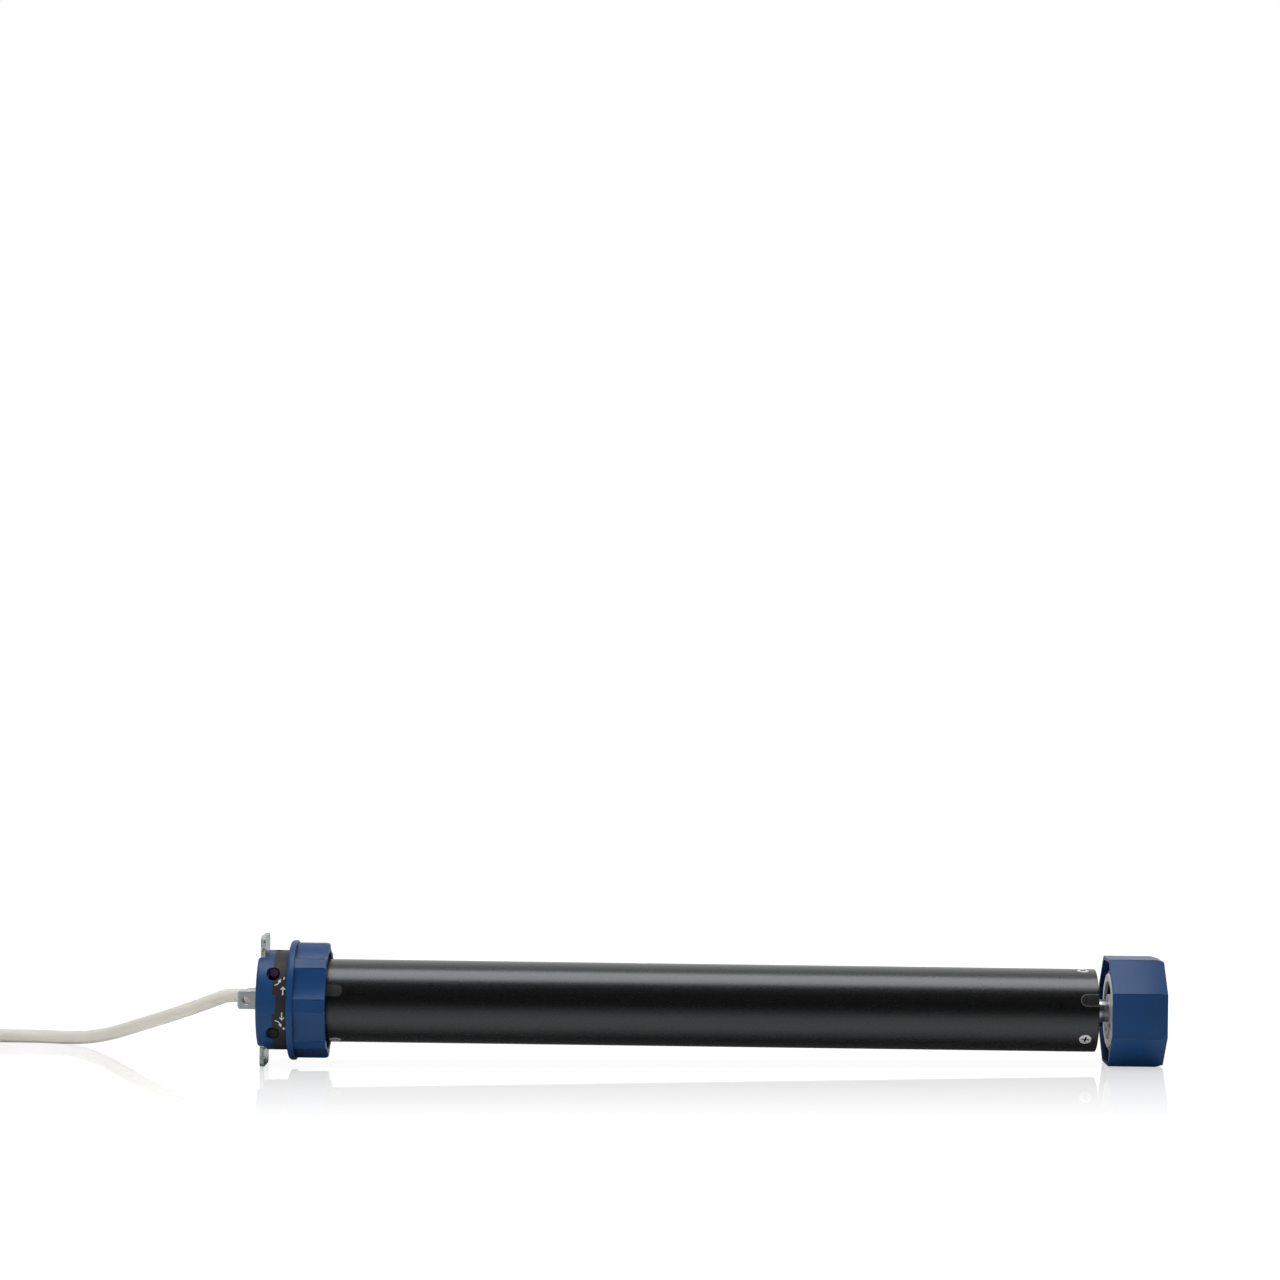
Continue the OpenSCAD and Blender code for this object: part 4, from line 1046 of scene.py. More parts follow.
    def cores(self, end: Vector) -> list[bpy.types.Object]:
        """Four insulated cores with ferrules at the lead's end.

        Args:
            end: The end of the lead's centre line.

        Returns:
            The cores and their ferrules.
        """
        sleeve = (0.0, self.core_length)
        bare = (self.core_length - self.ferrule_overlap, self.core_length + self.ferrule_length)
        pieces = []
        ferrules = Shape()
        for k, (name, color) in enumerate(self.core_colors):
            core = self.core_bar(sleeve, self.core_radius, 0.2, k).move(tuple(end))
            finish = Plastic(name, color, (0.4, 0.5), 0.08)
            pieces.append(self.put(core, name, "base", finish, "copper"))
            ferrules.join(self.core_bar(bare, self.ferrule_radius, 0.12, k).move(tuple(end)))
        pieces.append(self.put(ferrules, "core_ferrules", "base", STEEL, "copper", "core_ends"))
        return pieces


@dataclass(frozen=True)
class TubeSlot:
    """A round-ended slot that is open at one end of the tube."""

    clock: float = 20.0
    width: float = 7.0
    length: float = 10.1
    overrun: float = 4.0
    wall: Pair = (-30.0, -16.0)

    def block(self, end: float, way: float, gap: float) -> Shape:
        """The slot's outline as a block through the wall.

        Args:
            end: Place of the tube's end.
            way: 1 at the left end, -1 at the right end.
            gap: How much smaller the block is on each side.

        Returns:
            The block.
        """
        half = self.width / 2 - gap
        middle = end + way * (self.length - gap - half)
        mouth = end - way * self.overrun
        outside, inside = self.wall
        corners = [(mouth, -half), (middle, -half), (middle, half), (mouth, half)]
        round_end = Shape.rod(Way.Y, (middle, outside, 0.0), half, inside - outside, sides=40)
        return Shape.prism(corners, Way.Y, outside, inside).fuse(round_end).clock(self.clock)


@dataclass
class Head(SubAssembly):
    """End cap, head ring, setting screws and the prints on the ring."""

    radius: float = 27.1
    inner: float = 24.6
    sides: int = 160
    cap_start: float = CAP_START
    cap_end: float = 7.8
    cap_round: float = 1.4
    cap_floor: float = 5.2
    tongue_start: float = 7.3
    tongue_end: float = 9.6
    tongue_half: float = 5.13
    tongue_slack: float = 0.08
    channel_half: float = 12.6
    plate: float = PLATE_THICKNESS
    arm_gap: float = 0.8
    arm_z: float = 24.1
    collar_r: float = 7.3
    lead_y: float = LEAD_Y
    lead_r: float = 4.7
    bolt_z: float = BOLT_Z
    bolt_r: float = BOLT_R
    peg_r: float = 1.9
    peg_foot: float = 23.1
    peg_length: float = 3.5
    window_r: float = 3.5
    window_sink: float = 3.0
    well_wall: Pair = (3.48, 3.3)
    well_r: float = 26.98
    well_foot: float = 21.8
    well_height: float = 6.0
    hole: float = 3.7
    hole_neck: float = 2.85
    hole_z: float = 16.3
    hole_out: float = -30.0
    hole_ledge: Pair = (-19.6, -18.8)
    hole_seat: float = -17.5
    hole_seat_r: float = 3.6
    hole_floor: float = -12.75
    boss_half: float = 4.2
    boss_y: Pair = (-14.0, -6.0)
    ring_end: float = 15.9
    ring_floor: float = 13.4
    wall_x: float = 19.6
    wall_r: float = 20.6
    wall: float = 3.6
    land: float = 25.08
    land_end: float = 22.9
    neck: float = 22.4
    neck_inner: float = 20.2
    bead: tuple[Pair, ...] = (
        (31.5, 22.4), (31.6, 23.6), (31.8, 23.7), (32.4, 23.7), (32.6, 23.6), (32.7, 22.4)
    )
    plug: float = 21.4
    plug_inner: float = 18.8
    plug_start: float = 33.7
    plug_end: float = 72.2
    tube_start: float = TUBE_START
    slot: TubeSlot = TubeSlot()
    slot_gap: float = 0.16
    key_end: float = 46.0
    key_r: Pair = (20.4, 22.46)
    screw_face: float = -17.05
    screw: tuple[Pair, ...] = (
        (0.0, 0.0), (0.0, 2.7), (0.15, 3.05), (0.5, 3.2), (4.0, 3.2), (4.0, 2.2), (12.05, 2.2),
        (12.05, 0.0)
    )
    socket_r: float = 2.35
    socket_tight: float = 0.02
    socket_key: float = 1.6
    print_film: float = 0.03
    print_sink: float = 0.06
    print_strip: float = 0.6
    print_strips: int = 30
    arrow_stem: float = 0.33
    arrow_barbs: tuple[Pair, ...] = ((0.33, 1.2), (1.05, 1.95), (1.42, 1.55))
    arrows: tuple[Triple, ...] = ((13.6, 5.2, 9.95), (13.2, -4.2, -8.75))
    bend_half: float = 0.26
    bend_sweep: float = 72.0
    bend_lean: Pair = (0.3, 0.95)
    bend_head: Pair = (0.9, 2.1)
    bends: tuple[tuple[Pair, float, float], ...] = (
        ((9.0, 13.3), 2.6, 1.0), ((9.4, -11.8), 2.9, -1.0)
    )
    bar_sign: tuple[Pair, ...] = ((13.4, 13.8), (13.95, 13.8), (14.25, 15.5), (13.7, 15.5))
    plus_sign: tuple[Pair, ...] = (
        (13.25, -13.95), (13.85, -13.95), (13.85, -14.55), (14.35, -14.55), (14.35, -13.95),
        (14.95, -13.95), (14.95, -13.45), (14.35, -13.45), (14.35, -12.85), (13.85, -12.85),
        (13.85, -13.45), (13.25, -13.45)
    )
    gland: tuple[Pair, ...] = (
        (-10.3, 3.6), (-10.3, 4.05), (-10.05, 4.3), (-2.8, 4.6), (5.2, 4.6), (5.4, 5.4), (7.8, 5.4),
        (7.8, 4.6), (10.5, 4.6), (10.5, 3.6)
    )

    def setting_holes(self) -> Shape:
        """Cutters of the two setting holes, each with a ledge and a seat for the screw."""
        ledge, neck = self.hole_ledge
        outline = [
            (self.hole_out, 0.0), (self.hole_out, self.hole), (ledge, self.hole), (neck, self.hole_neck),
            (self.hole_seat, self.hole_neck), (self.hole_seat, self.hole_seat_r),
            (self.hole_floor, self.hole_seat_r), (self.hole_floor, 0.0)
        ]
        holes = Shape()
        for z in (self.hole_z, -self.hole_z):
            holes.join(Shape.turned(outline, 64).turn(90.0, "Z").move((self.cap_end, 0.0, z)))
        return holes

    def window(self) -> Shape:
        """Cutter of the round window at the top of the seam."""
        foot = (self.cap_end, 0.0, self.inner - self.window_sink)
        return Shape.rod(Way.Z, foot, self.window_r, 8.0, sides=40)

    def peg(self, foot: float, length: float) -> Shape:
        """The round peg that shows in the window."""
        return Shape.rod(Way.Z, (self.cap_end - self.peg_r, 0.0, foot), self.peg_r, length, sides=32)

    def build_cap(self) -> None:
        """The blue end cap."""
        r, w = self.radius, self.channel_half
        cap = Shape.turned(
            [(self.cap_start, 0.0), *quarter_round(self.cap_start, r, self.cap_round), (self.cap_end, r),
             (self.cap_end, self.inner), (self.cap_floor, self.inner), (self.cap_floor, 0.0)], self.sides
        )
        tongue = Shape.turned(
            [(self.tongue_start, r), (self.tongue_end, r), (self.tongue_end, self.inner),
             (self.tongue_start, self.inner)], self.sides
        )
        cap.fuse(tongue.keep(Shape.block((0.0, -FAR, -self.tongue_half), (20.0, 0.0, self.tongue_half))))
        arm = self.plate + self.arm_gap
        cap.cut(
            Shape.block((self.cap_start - 1, -w, -FAR), (self.plate, w, FAR)),
            Shape.block((1.0, -w, self.arm_z), (arm, w, FAR)),
            Shape.block((1.0, -w, -FAR), (arm, w, -self.arm_z)),
            Shape.rod(Way.X, (0.0, 0.0, 0.0), self.collar_r, 4.0),
            Shape.rod(Way.X, (-3.0, self.lead_y, 0.0), self.lead_r, 20.0),
            Shape.rod(Way.X, (0.0, 0.0, self.bolt_z), self.bolt_r, 20.0),
            Shape.rod(Way.X, (0.0, 0.0, -self.bolt_z), self.bolt_r, 20.0),
            self.setting_holes(),
            self.window().cut(self.peg(10.0, 30.0)),
        )
        cap.fuse(self.peg(self.peg_foot, self.peg_length))
        self.put(cap, "cap_shell", "base", BLUE, "blue_plastic", "end_cap")

    def build_ring(self) -> None:
        """The black ring, its sleeve and plug, and the tongue that fills the tube's slot."""
        r, end = self.radius, self.ring_end
        ring = Shape.turned(
            [(self.cap_end, r), (end - 0.35, r), (end - 0.1, r - 0.1), (end, r - 0.35), (end, self.land),
             (self.land_end, self.land), (self.land_end, self.neck), *self.bead,
             (self.tube_start, self.neck), (self.tube_start, self.plug), (self.plug_end - 1, self.plug),
             (self.plug_end, self.plug - 0.6), (self.plug_end, self.plug_inner),
             (self.plug_start, self.plug_inner), (self.plug_start, self.neck_inner),
             (self.ring_floor, self.neck_inner), (self.ring_floor, self.inner),
             (self.cap_end, self.inner)], self.sides
        )
        inner, outer = self.key_r
        key = Shape.turned(
            [(self.tube_start, outer), (self.key_end, outer), (self.key_end, inner),
             (self.tube_start, inner)], self.sides
        )
        key.keep(self.slot.block(self.tube_start, 1.0, self.slot_gap))
        bosses = Shape()
        front, back = self.boss_y
        for z in (self.hole_z, -self.hole_z):
            low, high = z - self.boss_half, z + self.boss_half
            bosses.join(Shape.block((self.cap_end, front, low), (end - 1, back, high)))
        wall = Shape.rod(Way.X, (self.wall_x, 0.0, 0.0), self.wall_r, self.wall, sides=96)
        ring.fuse(key, wall, bosses)
        half = self.tongue_half + self.tongue_slack
        ring.cut(
            Shape.block((0.0, -FAR, -half), (self.tongue_end + self.tongue_slack, 0.0, half)),
            self.setting_holes(),
            self.window(),
        )
        self.put(ring, "ring_shell", "base", BLACK, "black_plastic", "head_housing")

    def build_well(self) -> None:
        """A near-black lining of the window: painted shade in the hollow."""
        outer, inner = self.well_wall
        foot = (self.cap_end, 0.0, self.well_foot)
        well = Shape.rod(Way.Z, foot, outer, self.well_height, sides=40)
        well.cut(Shape.rod(Way.Z, (self.cap_end, 0.0, 20.0), inner, 9.0, sides=40))
        well.keep(Shape.rod(Way.X, (-5.0, 0.0, 0.0), self.well_r, FAR, sides=128))
        self.put(well, "window_well", "base", RECESS_SHADE, "black_plastic")

    def build_setting_screws(self) -> None:
        """The two setting screws, each with a coloured hexagon socket."""
        sides = ((1.0, "upper", PURPLE, "purple_plastic"), (-1.0, "lower", SOCKET, "black_nylon"))
        for side, place, finish, slot in sides:
            seat = (self.cap_end, self.screw_face, side * self.hole_z)
            screw = Shape.turned(self.screw, 48)
            screw.cut(Shape.rod(Way.X, (-1.0, 0.0, 0.0), self.socket_r, 3.5, sides=6))
            screw.turn(90.0, "Z").move(seat)
            body, node = f"{place}_screw", f"{place}_limit_screw"
            self.put(screw, f"{place}_setting_screw", body, NYLON, slot, node)
            width = self.socket_r + self.socket_tight
            socket = Shape.rod(Way.X, (-0.35, 0.0, 0.0), width, 3.0, sides=6).soften(0.15)
            socket.cut(Shape.rod(Way.X, (-1.0, 0.0, 0.0), self.socket_key, 1.9, sides=6))
            socket.turn(90.0, "Z").move(seat)
            self.put(socket, f"{place}_setting_socket", body, finish, slot)

    def wrapped(self, mark: Shape) -> Shape:
        """Bends a flat print, made at the front, round the ring."""
        for k in range(-self.print_strips, self.print_strips + 1):
            spot = (0, 0, self.print_strip * k)
            bmesh.ops.bisect_plane(mark.bm, geom=mark.geom, dist=1e-5, plane_co=spot, plane_no=(0, 0, 1))
        for vert in mark.bm.verts:
            x, y, z = vert.co
            a = z / self.radius
            vert.co = (x, y * math.cos(a), -y * math.sin(a))
        return mark

    def film(self, outline: Sequence[Pair]) -> Shape:
        """A flat print at the front, with an outline of (x, height) points."""
        outside, inside = -self.radius - self.print_film, -self.radius + self.print_sink
        return Shape.prism(outline, Way.Y, outside, inside)

    def straight_arrow(self, x: float, tail: float, tip: float) -> Shape:
        """An arrow along the ring's rim."""
        way = 1.0 if tip > tail else -1.0
        half = [(self.arrow_stem, tail), *((a, tip - way * back) for a, back in self.arrow_barbs)]
        left = [(x - a, z) for a, z in half]
        right = [(x + a, z) for a, z in half]
        return self.film([*right, (x, tip), *reversed(left)])

    def curved_arrow(self, centre: Pair, radius: float, way: float) -> Shape:
        """A bent arrow that starts along the axis and ends along the rim."""
        x, z = centre
        y = -self.radius - self.print_film
        shape = Shape()
        bm = shape.bm
        start = [bm.verts.new((x, y, z - way * (radius + s))) for s in (-self.bend_half, self.bend_half)]
        edge = bm.edges.new(start)
        bmesh.ops.spin(
            bm, geom=[*start, edge], cent=(x, y, z), axis=(0, -1, 0),
            angle=way * math.radians(self.bend_sweep), steps=8
        )
        made = bmesh.ops.extrude_face_region(bm, geom=list(bm.faces))["geom"]
        verts = [g for g in made if isinstance(g, bmesh.types.BMVert)]
        bmesh.ops.translate(bm, vec=(0.0, self.print_film + self.print_sink, 0.0), verts=verts)
        a = math.radians(90.0 - self.bend_sweep)
        base = Vector((x + radius * math.cos(a), z - way * radius * math.sin(a)))
        out, along = self.bend_lean
        wing, reach = self.bend_head
        across = wing * Vector((along, -way * out))
        tip = base + reach * Vector((out, way * along))
        head = self.film([tuple(base - across), tuple(base + across), tuple(tip)])
        return shape.tidy().join(head.tidy())

    def build_prints(self) -> None:
        """White arrows and signs printed on the ring."""
        arrows = [self.straight_arrow(*arrow) for arrow in self.arrows]
        bends = [self.curved_arrow(*bend) for bend in self.bends]
        signs = [self.film(sign) for sign in (self.bar_sign, self.plus_sign)]
        prints = Shape().join(*arrows, *bends, *signs)
        self.put(self.wrapped(prints), "ring_prints", "base", PRINT, "black_plastic")

    def build(self) -> None:
        """Builds the head's pieces."""
        self.build_cap()
        self.build_ring()
        self.build_well()
        self.build_setting_screws()
        self.build_prints()
        gland = Shape.turned(self.gland, 48).move((0.0, self.lead_y, 0.0))
        self.put(gland, "lead_gland", "base", GLAND, "grey_lead", "cable_grommet")


@dataclass
class Mounting(SubAssembly):
    """Two-arm plate and square pin."""

    thickness: float = PLATE_THICKNESS
    width: float = 25.0
    length: float = 71.0
    corner: float = 3.0
    edge: float = 0.22
    bolt_z: float = BOLT_Z
    bolt_r: float = BOLT_R
    sink_r: Pair = (4.2, 1.8)
    sink_depth: float = 2.4
    pin: float = 10.0
    pin_length: float = 13.4
    pin_gap: float = 0.1
    pin_tip: float = 1.0
    pin_edge: float = 0.45
    pin_hole: float = 4.5
    pin_hole_x: float = -8.5
    eye_mouth: float = 2.55
    eye_lead: float = 0.3
    eye_out: Pair = (8.0, 3.2)
    collar_r: float = 7.2
    collar: float = 1.5

    def build_plate(self) -> None:
        """The two-arm plate."""
        w, h = self.width / 2, self.length / 2
        corners = [(-w, -h), (w, -h), (w, h), (-w, h)]
        plate = Shape.prism(corners, Way.X, 0.0, self.thickness, self.corner)
        plate.soften(self.edge, 2, 50.0)
        gap = self.pin / 2 + self.pin_gap
        bolts = (self.bolt_z, -self.bolt_z)
        wide, narrow = self.sink_r
        plate.cut(
            Shape.block((-1.0, -gap, -gap), (4.0, gap, gap)),
            *[Shape.rod(Way.X, (-0.1, 0.0, z), wide, self.sink_depth, narrow) for z in bolts],
            *[Shape.rod(Way.X, (-1.0, 0.0, z), self.bolt_r, 5.0) for z in bolts],
        )
        self.put(plate, "arm_plate", "base", PLATE, "zinc", "mounting_bracket")

    def build_pin(self) -> None:
        """The square pin, with a collar and a hole for a split pin."""
        p, hole = self.pin / 2, self.pin_hole / 2
        pin = Shape()
        corners = ((-p, -p), (p, -p), (p, p), (-p, p))
        face = pin.bm.faces.new([pin.bm.verts.new((self.thickness, *c)) for c in corners])
        face = pin.extrude(face, Vector((self.pin_tip - self.thickness - self.pin_length, 0.0, 0.0)))
        pin.extrude(face, Vector((-self.pin_tip, 0.0, 0.0)), 1.0 - self.pin_tip / p)
        pin.tidy().soften(self.pin_edge, 3, 30.0)
        out, wide = self.eye_out
        flat = p - self.eye_lead
        eye = Shape.turned(
            [(-out, 0.0), (-out, wide), (-p, self.eye_mouth), (-flat, hole), (flat, hole),
             (p, self.eye_mouth), (out, wide), (out, 0.0)], 40
        )
        eye.turn(90.0, "Z").move((self.pin_hole_x, 0.0, 0.0))
        pin.cut(eye).fuse(Shape.rod(Way.X, (self.thickness, 0.0, 0.0), self.collar_r, self.collar))
        self.put(pin, "pin_bar", "base", ZINC, "zinc", "square_pin")

    def build(self) -> None:
        """Builds the plate and the pin."""
        self.build_plate()
        self.build_pin()


@dataclass
class Crown(SubAssembly):
    """The blue crown with eight lobes that follows the roller."""

    start: float = 16.2
    flange: float = 3.1
    flange_r: float = 32.58
    lip: Pair = (15.45, 27.6)
    rim_round: float = 1.9
    end: float = 36.5
    inset: float = 1.2
    tip: Pair = (1.6, 0.986)
    edge: float = 0.4
    lobe_r: float = 31.2
    lobe_w: float = 6.6
    scoop: float = 1.4
    lobes: int = 8
    mouth_r: float = 26.48
    mouth_x: float = 31.2
    flare: Pair = (40.0, 3.6)
    root_r: float = 24.88
    land_r: float = 25.13
    land_end: float = 23.2
    bore_start: float = 10.0
    lug: tuple[Triple, Triple] = ((30.0, -26.7, -2.0), (39.2, -24.15, 2.0))
    lug_clock: float = 100.0

    def outline(self) -> Shape:
        """The lobed outline as one face, at the flange."""
        shape = Shape()
        bm = shape.bm
        step = math.tau / self.lobes
        edge = math.atan(self.lobe_w / 2 / self.lobe_r)
        edge_r = self.lobe_r / math.cos(edge)
        half = edge_r * math.sin(step / 2 - edge)
        scoop_r = (half ** 2 + self.scoop ** 2) / 2 / self.scoop
        seat = edge_r * math.cos(step / 2 - edge) - self.scoop + scoop_r
        x = self.start + self.inset
        ends = [bm.verts.new((x, edge_r * math.cos(a), edge_r * math.sin(a))) for a in (-edge, edge)]
        bm.edges.new(ends)
        centre = (x, seat * math.cos(step / 2), seat * math.sin(step / 2))
        sweep = -2 * math.asin(half / scoop_r)
        bmesh.ops.spin(bm, geom=[ends[1]], cent=centre, axis=(1, 0, 0), angle=sweep, steps=10)
        shape.repeat(self.lobes)
        bmesh.ops.remove_doubles(bm, verts=bm.verts, dist=1e-3)
        bmesh.ops.edgeloop_fill(bm, edges=bm.edges)
        return shape

    def build(self) -> None:
        """Builds the crown."""
        tip, slim = self.tip
        body = self.outline()
        straight = self.end - tip - self.start - self.inset
        face = body.extrude(list(body.bm.faces)[0], Vector((straight, 0.0, 0.0)))
        body.extrude(face, Vector((tip, 0.0, 0.0)), slim)
        body.tidy().soften(self.edge, 3, 12.0)
        left, lip_r = self.lip
        right, r = self.start + self.flange, self.flange_r
        flange = Shape.turned(
            [(self.start, 0.0), (self.start, lip_r), (left + 0.2, lip_r), (left, lip_r + 0.2),
             *quarter_round(left, r, self.rim_round), (right - 0.6, r), (right - 0.15, r - 0.15),
             (right, r - 0.6), (right, 0.0)], 160
        )
        out, wider = self.flare
        bore = Shape.turned(
            [(self.bore_start, 0.0), (self.bore_start, self.land_r), (self.land_end, self.land_r),
             (self.land_end, self.root_r), (self.mouth_x, self.root_r), (self.mouth_x, self.mouth_r),
             (self.end - 0.4, self.mouth_r), (out, self.mouth_r + wider), (out, 0.0)], 160
        )
        lug = Shape.block(*self.lug).soften(0.3).clock(self.lug_clock)
        crown = flange.fuse(body).cut(bore).fuse(lug)
        self.put(crown, "crown_shell", "crown", BLUE, "blue_plastic", "limit_crown")


@dataclass
class Tube(SubAssembly):
    """The black motor tube with its slots and screws."""

    start: float = TUBE_START
    end: float = 454.5
    radius: float = 22.5
    bore: float = 21.5
    rounding: tuple[Pair, ...] = ((0.0, 0.5), (0.07, 0.25), (0.25, 0.07), (0.5, 0.0))
    slot: TubeSlot = TubeSlot()
    screws: tuple[Pair, ...] = (
        (40.6, -67.0), (40.6, 110.0), (447.5, -39.0), (447.5, 81.0), (447.5, 201.0), (207.0, 97.0)
    )
    screw_outline: tuple[Pair, ...] = (
        (0.0, 0.0), (0.02, 2.6), (0.12, 3.2), (0.32, 3.5), (0.5, 3.45), (2.0, 1.95), (8.0, 1.9),
        (8.0, 0.0)
    )
    screw_sink: float = 0.1
    screw_turn: Pair = (38.0, 31.0)
    seat_r: Pair = (4.6, 0.6)
    seat_depth: float = 4.0
    seat_rise: float = 1.0
    cross_arm: Pair = (0.55, 2.1)
    flange_start: float = 412.0
    flange_wall: Pair = (17.6, 21.4)
    flange_bore: float = 8.6
    flange_floor: float = 12.0
    tongue_start: float = 443.0
    tongue: Pair = (20.4, 22.42)
    highlight_rise: float = 0.06

    def build_tube(self) -> None:
        """The painted tube."""
        r, s, e = self.radius, self.start, self.end
        left = [(s + a, r - b) for a, b in self.rounding]
        right = [(e - a, r - b) for a, b in reversed(self.rounding)]
        tube = Shape.turned([(s, self.bore), *left, *right, (e, self.bore)], 192)
        tube.cut(self.slot.block(s, 1.0, 0.0), self.slot.block(e, -1.0, 0.0))
        wide, narrow = self.seat_r
        for x, clock in self.screws:
            foot = (x, -r - self.seat_rise, 0.0)
            tube.cut(Shape.rod(Way.Y, foot, wide, self.seat_depth, narrow, 40).clock(clock))
        self.put(tube, "tube_shell", "base", PAINT, "black_paint", "motor_tube")

    def screw(self) -> Shape:
        """One countersunk screw with a cross recess, with its face at zero and its shank along X."""
        return Shape.turned(self.screw_outline, 48).cut(self.cross(-1.0, 1.7, 0.0))

    def cross(self, start: float, end: float, slack: float) -> Shape:
        """The cross of a screw's recess.

        Args:
            start: Where it starts along the screw.
            end: Where it ends.
            slack: How much larger it is on each side than the recess.

        Returns:
            The cross as one solid.
        """
        half, reach = (size + slack for size in self.cross_arm)
        bar = Shape.block((start, -half, -reach), (end, half, reach))
        return bar.fuse(Shape.block((start, -reach, -half), (end, reach, half)))

    def build_screws(self) -> None:
        """The six tube screws, with near-black crosses in their recesses as painted shade."""
        screws, recess_shades = Shape(), Shape()
        first, step = self.screw_turn
        for k, (x, clock) in enumerate(self.screws):
            for whole, one in ((screws, self.screw()), (recess_shades, self.cross(0.5, 1.8, 0.05))):
                one.turn(first + step * k).turn(90.0, "Z").move((x, -self.radius + self.screw_sink, 0.0))
                whole.join(one.clock(clock))
        self.put(screws, "tube_screw_set", "base", SCREW, "bright_steel", "tube_screws")
        # Painted shade: a near-black cross inside each recess
        self.put(recess_shades, "tube_screw_recess_shade", "base", RECESS_SHADE, "bright_steel")

    def build_flange(self) -> None:
        """The gearbox flange at the right end, with the tongue that fills the slot."""
        e = self.end
        inner, outer = self.flange_wall
        floor = e - self.flange_floor
        flange = Shape.turned(
            [(self.flange_start, inner), (self.flange_start, outer), (e - 0.4, outer), (e, outer - 0.4),
             (e, self.flange_bore), (floor, self.flange_bore), (floor, inner)], 128
        )
        low, high = self.tongue
        sector = [
            (self.tongue_start, high), (e - 0.4, high), (e - 0.1, high - 0.12), (e, high - 0.42),
            (e, low), (self.tongue_start, low)
        ]
        tongue = Shape.turned(sector, 192).keep(self.slot.block(e, -1.0, 0.5))
        self.put(flange.fuse(tongue), "flange_shell", "base", TONGUE, "black_plastic", "gearbox_flange")
        # Painted highlight: a thin lighter band, raised a little, along the tongue's outline
        rim = Shape.turned([(x, r + self.highlight_rise) for x, r in sector], 192)
        rim.keep(self.slot.block(e, -1.0, 0.08)).cut(self.slot.block(e, -1.0, 0.45))
        self.put(rim, "flange_tongue_highlight", "base", TONGUE_HIGHLIGHT, "black_plastic")

    def build(self) -> None:
        """Builds the tube's pieces."""
        self.build_tube()
        self.build_screws()
        self.build_flange()


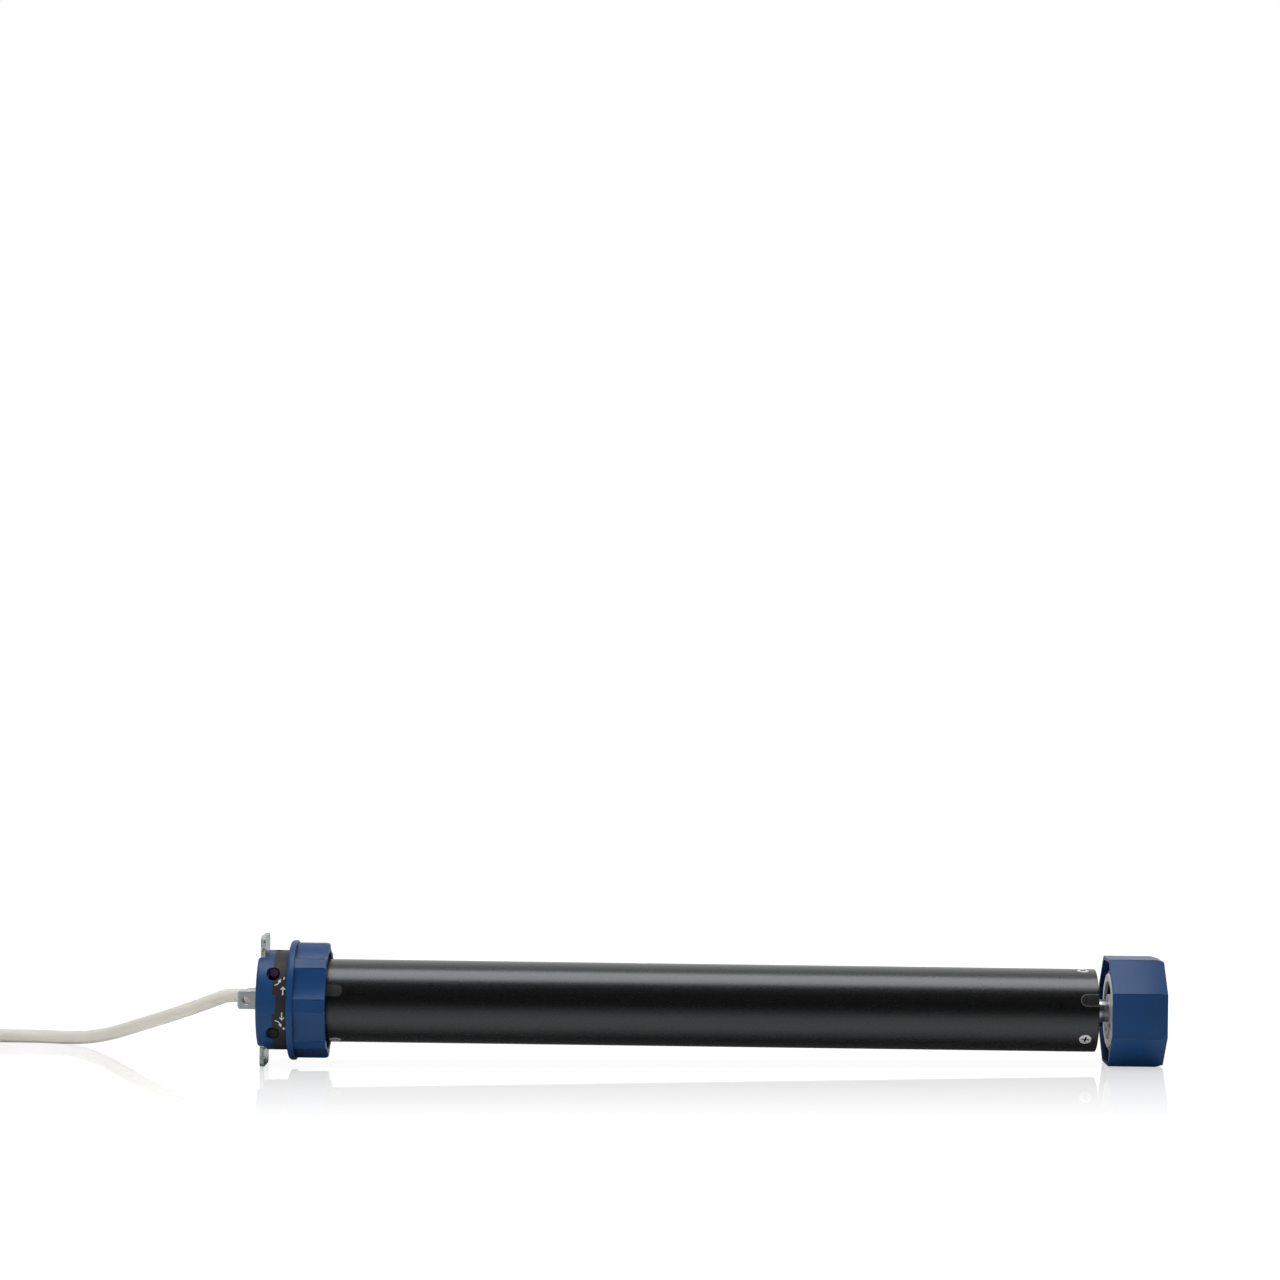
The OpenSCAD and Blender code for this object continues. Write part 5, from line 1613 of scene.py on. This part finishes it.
@dataclass
class DriveWheel(SubAssembly):
    """The octagonal drive wheel and its hub."""

    start: float = 460.6
    end: float = 490.6
    across: float = 58.1
    wall: float = 1.8
    taper_l: float = 4.2
    taper_d: float = 1.1
    edge: float = 0.4
    web: Pair = (476.0, 479.0)
    ring: Pair = (20.3, 21.9)
    ribs: Pair = (462.6, 486.4)
    rib_w: float = 1.5
    liner: Pair = (463.2, 476.5)
    liner_wall: Pair = (15.35, 15.75)
    bore_start: float = 470.0
    hub_start: float = 461.6
    hub_r: float = 20.2
    hub_in: float = 15.8
    sleeve: float = 9.0
    sleeve_end: float = 485.8
    shaft_r: float = 6.35
    spoke_w: float = 5.0
    spoke_l: float = 5.0
    foot_half: float = 7.5
    foot_holes: tuple[tuple[float, Pair, Pair], ...] = (
        (467.1, (-2.4, 2.4), (-15.6, -12.4)), (470.0, (-7.0, -3.4), (-11.9, -9.4)),
        (470.0, (3.4, 7.0), (-11.9, -9.4))
    )

    def build_wheel(self) -> None:
        """The blue wheel: a softened octagon with a wall, a web, an inner ring and ribs."""
        wheel = Shape()
        eighth = math.pi / 8
        corner = self.across / 2 / math.cos(eighth)
        place = Matrix.Translation((self.start, 0.0, 0.0)) @ Matrix.Rotation(math.pi / 2, 4, "Y")
        place = place @ Matrix.Rotation(eighth, 4, "Z")
        bmesh.ops.create_circle(wheel.bm, cap_ends=True, segments=8, radius=corner, matrix=place)
        left = list(wheel.bm.faces)[0]
        right = wheel.extrude(left, Vector((self.end - self.taper_l - self.start, 0.0, 0.0)))
        wheel.extrude(right, Vector((self.taper_l, 0.0, 0.0)), 1.0 - 2 * self.taper_d / self.across)
        wheel.tidy().soften(self.edge, 3, 10.0)
        inner = self.across - 2 * self.wall
        front = (self.start - 1.0, self.web[0] - self.start + 1.0, inner)
        back = (self.web[1], 20.0, inner - 2 * self.taper_d)
        pockets = Shape()
        for x, length, across in (front, back):
            reach = across / 2 / math.cos(eighth)
            pockets.join(Shape.rod(Way.X, (x, 0.0, 0.0), reach, length, sides=8).turn(22.5))
        wheel.cut(pockets)
        a, b = self.ring
        x0, x1 = self.ribs
        ring = Shape.turned(
            [(x0, a + 0.2), (x0, b - 0.2), (x0 + 0.2, b), (x1 - 0.2, b), (x1, b - 0.2), (x1, a),
             (x0 + 0.2, a)], 128
        )
        half = self.rib_w / 2
        rib = Shape.block((x0 + 0.1, -inner / 2 - 0.3, -half), (x1 - 0.1, -b + 0.4, half))
        near, far = self.liner
        low, high = self.liner_wall
        liner = Shape.turned([(near, high), (far, high), (far, low), (near, low)], 96)
        wheel.fuse(ring, rib.repeat(8), liner)
        wheel.cut(Shape.rod(Way.X, (self.bore_start, 0.0, 0.0), self.sleeve + 0.1, 12.0))
        self.put(wheel, "wheel_shell", "output", BLUE, "blue_plastic", "drive_wheel")

    def build_hub(self) -> None:
        """The cast hub with a rim, a pierced foot, deep spokes and a sleeve for the shaft."""
        x0, x1 = self.hub_start, self.web[0]
        rim = Shape.turned(
            [(x0 + 0.3, self.hub_r), (x1, self.hub_r), (x1, self.hub_in), (x0 + 0.3, self.hub_in),
             (x0, self.hub_in + 0.3), (x0, self.hub_r - 0.3)], 128
        )
        r, end = self.sleeve, self.sleeve_end
        sleeve = Shape.turned(
            [(x0 + 0.3, r), (end - 0.4, r), (end, r - 0.4), (end, self.shaft_r), (x0, self.shaft_r),
             (x0, r - 0.3)], 96
        )
        half, out = self.spoke_w / 2, -self.hub_in - 0.6
        spoke = Shape.block((x1 - self.spoke_l, out, -half), (x1, -r + 0.5, half)).soften(0.3)
        side = self.foot_half
        foot = Shape.block((x0 + 0.1, -side, out), (x1 - 4.0, side, -r + 0.8)).soften(0.3)
        rim.fuse(sleeve, spoke.repeat(4), foot)
        rim.cut(*[
            Shape.block((x0 - 1.0, y0, z0), (depth, y1, z1))
            for depth, (y0, y1), (z0, z1) in self.foot_holes
        ])
        # The hub takes the lighter copy of the alloy: painted light
        self.put(rim, "hub_casting", "output", HUB_LIT_ALLOY, "cast_alloy", "wheel_hub")

    def build(self) -> None:
        """Builds the wheel's pieces."""
        self.build_wheel()
        self.build_hub()


@dataclass
class BrakeSpring(SubAssembly):
    """The round-wire spring that closes the brake."""

    radius: float = 8.8
    wire: float = 0.8
    wire_sides: int = 12
    turns: int = 6
    turn_steps: int = 28
    travel: float = 0.0008

    def build(self) -> None:
        """Winds the spring between the armature and the bottom of its pocket."""
        low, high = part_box("brake_spring")
        start, end = low.x / MM + self.wire, high.x / MM - self.wire
        shape = Shape()
        place = Matrix.Translation((start, self.radius, 0.0))
        bmesh.ops.create_circle(
            shape.bm, cap_ends=True, segments=self.wire_sides, radius=self.wire, matrix=place
        )
        steps = self.turn_steps * self.turns
        bmesh.ops.spin(
            shape.bm, geom=shape.geom, cent=(start, 0.0, 0.0), axis=(1, 0, 0),
            dvec=((end - start) / steps, 0.0, 0.0), angle=math.tau * self.turns, steps=steps
        )
        shape.tidy()
        spring = self.put(shape, "brake_coil_spring", "base", STEEL, "bright_steel", "brake_spring")
        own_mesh(spring)


@dataclass
class InnerWorks(SubAssembly):
    """Nodes of the frame that keep their own shape and get a finish."""

    finishes: tuple[tuple[Finish, tuple[str, ...]], ...] = (
        (SCREW, ("bracket_screws", "wheel_screw")),
        (STEEL, ("output_carrier", "rotor_shaft", "motor_bearings")),
        (STEEL, ("carrier_1_pins", "carrier_2_pins", "output_pins")),
        (BLACK, ("capacitor_holder", "limit_switches")),
        (RUBBER, ("brake_disc",)),
        (NYLON, ("cable_tie",)),
        (GREY, ("cable_clamp", "counter_plate", "terminal_block", "capacitor")),
        (GEAR, ("limit_pinion", "upper_counter_a", "upper_counter_b")),
        (GEAR, ("lower_counter_a", "lower_counter_b")),
        (ALLOY, ("rear_end_shield", "front_end_shield")),
        (IRON, ("stator_core", "rotor_core", "brake_magnet", "brake_armature")),
        (IRON, ("gearbox_plate", "gear_ring")),
        (SINTER, ("carrier_1", "carrier_2", *(f"planet_{s}_{k}" for s in (1, 2, 3) for k in "abc"))),
        (COPPER, ("stator_winding", "brake_coil")),
        (BRONZE, ("output_bush",)),
    )

    def dress(self) -> None:
        """Gives each of the nodes its finish."""
        for finish, names in self.finishes:
            for name in names:
                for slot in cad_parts[name].material_slots:
                    slot.material = finish.material()
                log.info("%s gets its finish", name)


def main() -> None:
    """Builds the studio and the pieces in order."""
    logging.basicConfig(level=logging.INFO, format="%(name)s: %(message)s")
    table = Table()
    Studio(table).build()
    MainsLead(table).build()
    Mounting().build()
    Head().build()
    Crown().build()
    Tube().build()
    DriveWheel().build()
    BrakeSpring().build()
    InnerWorks().dress()


if __name__ == "__main__":
    main()
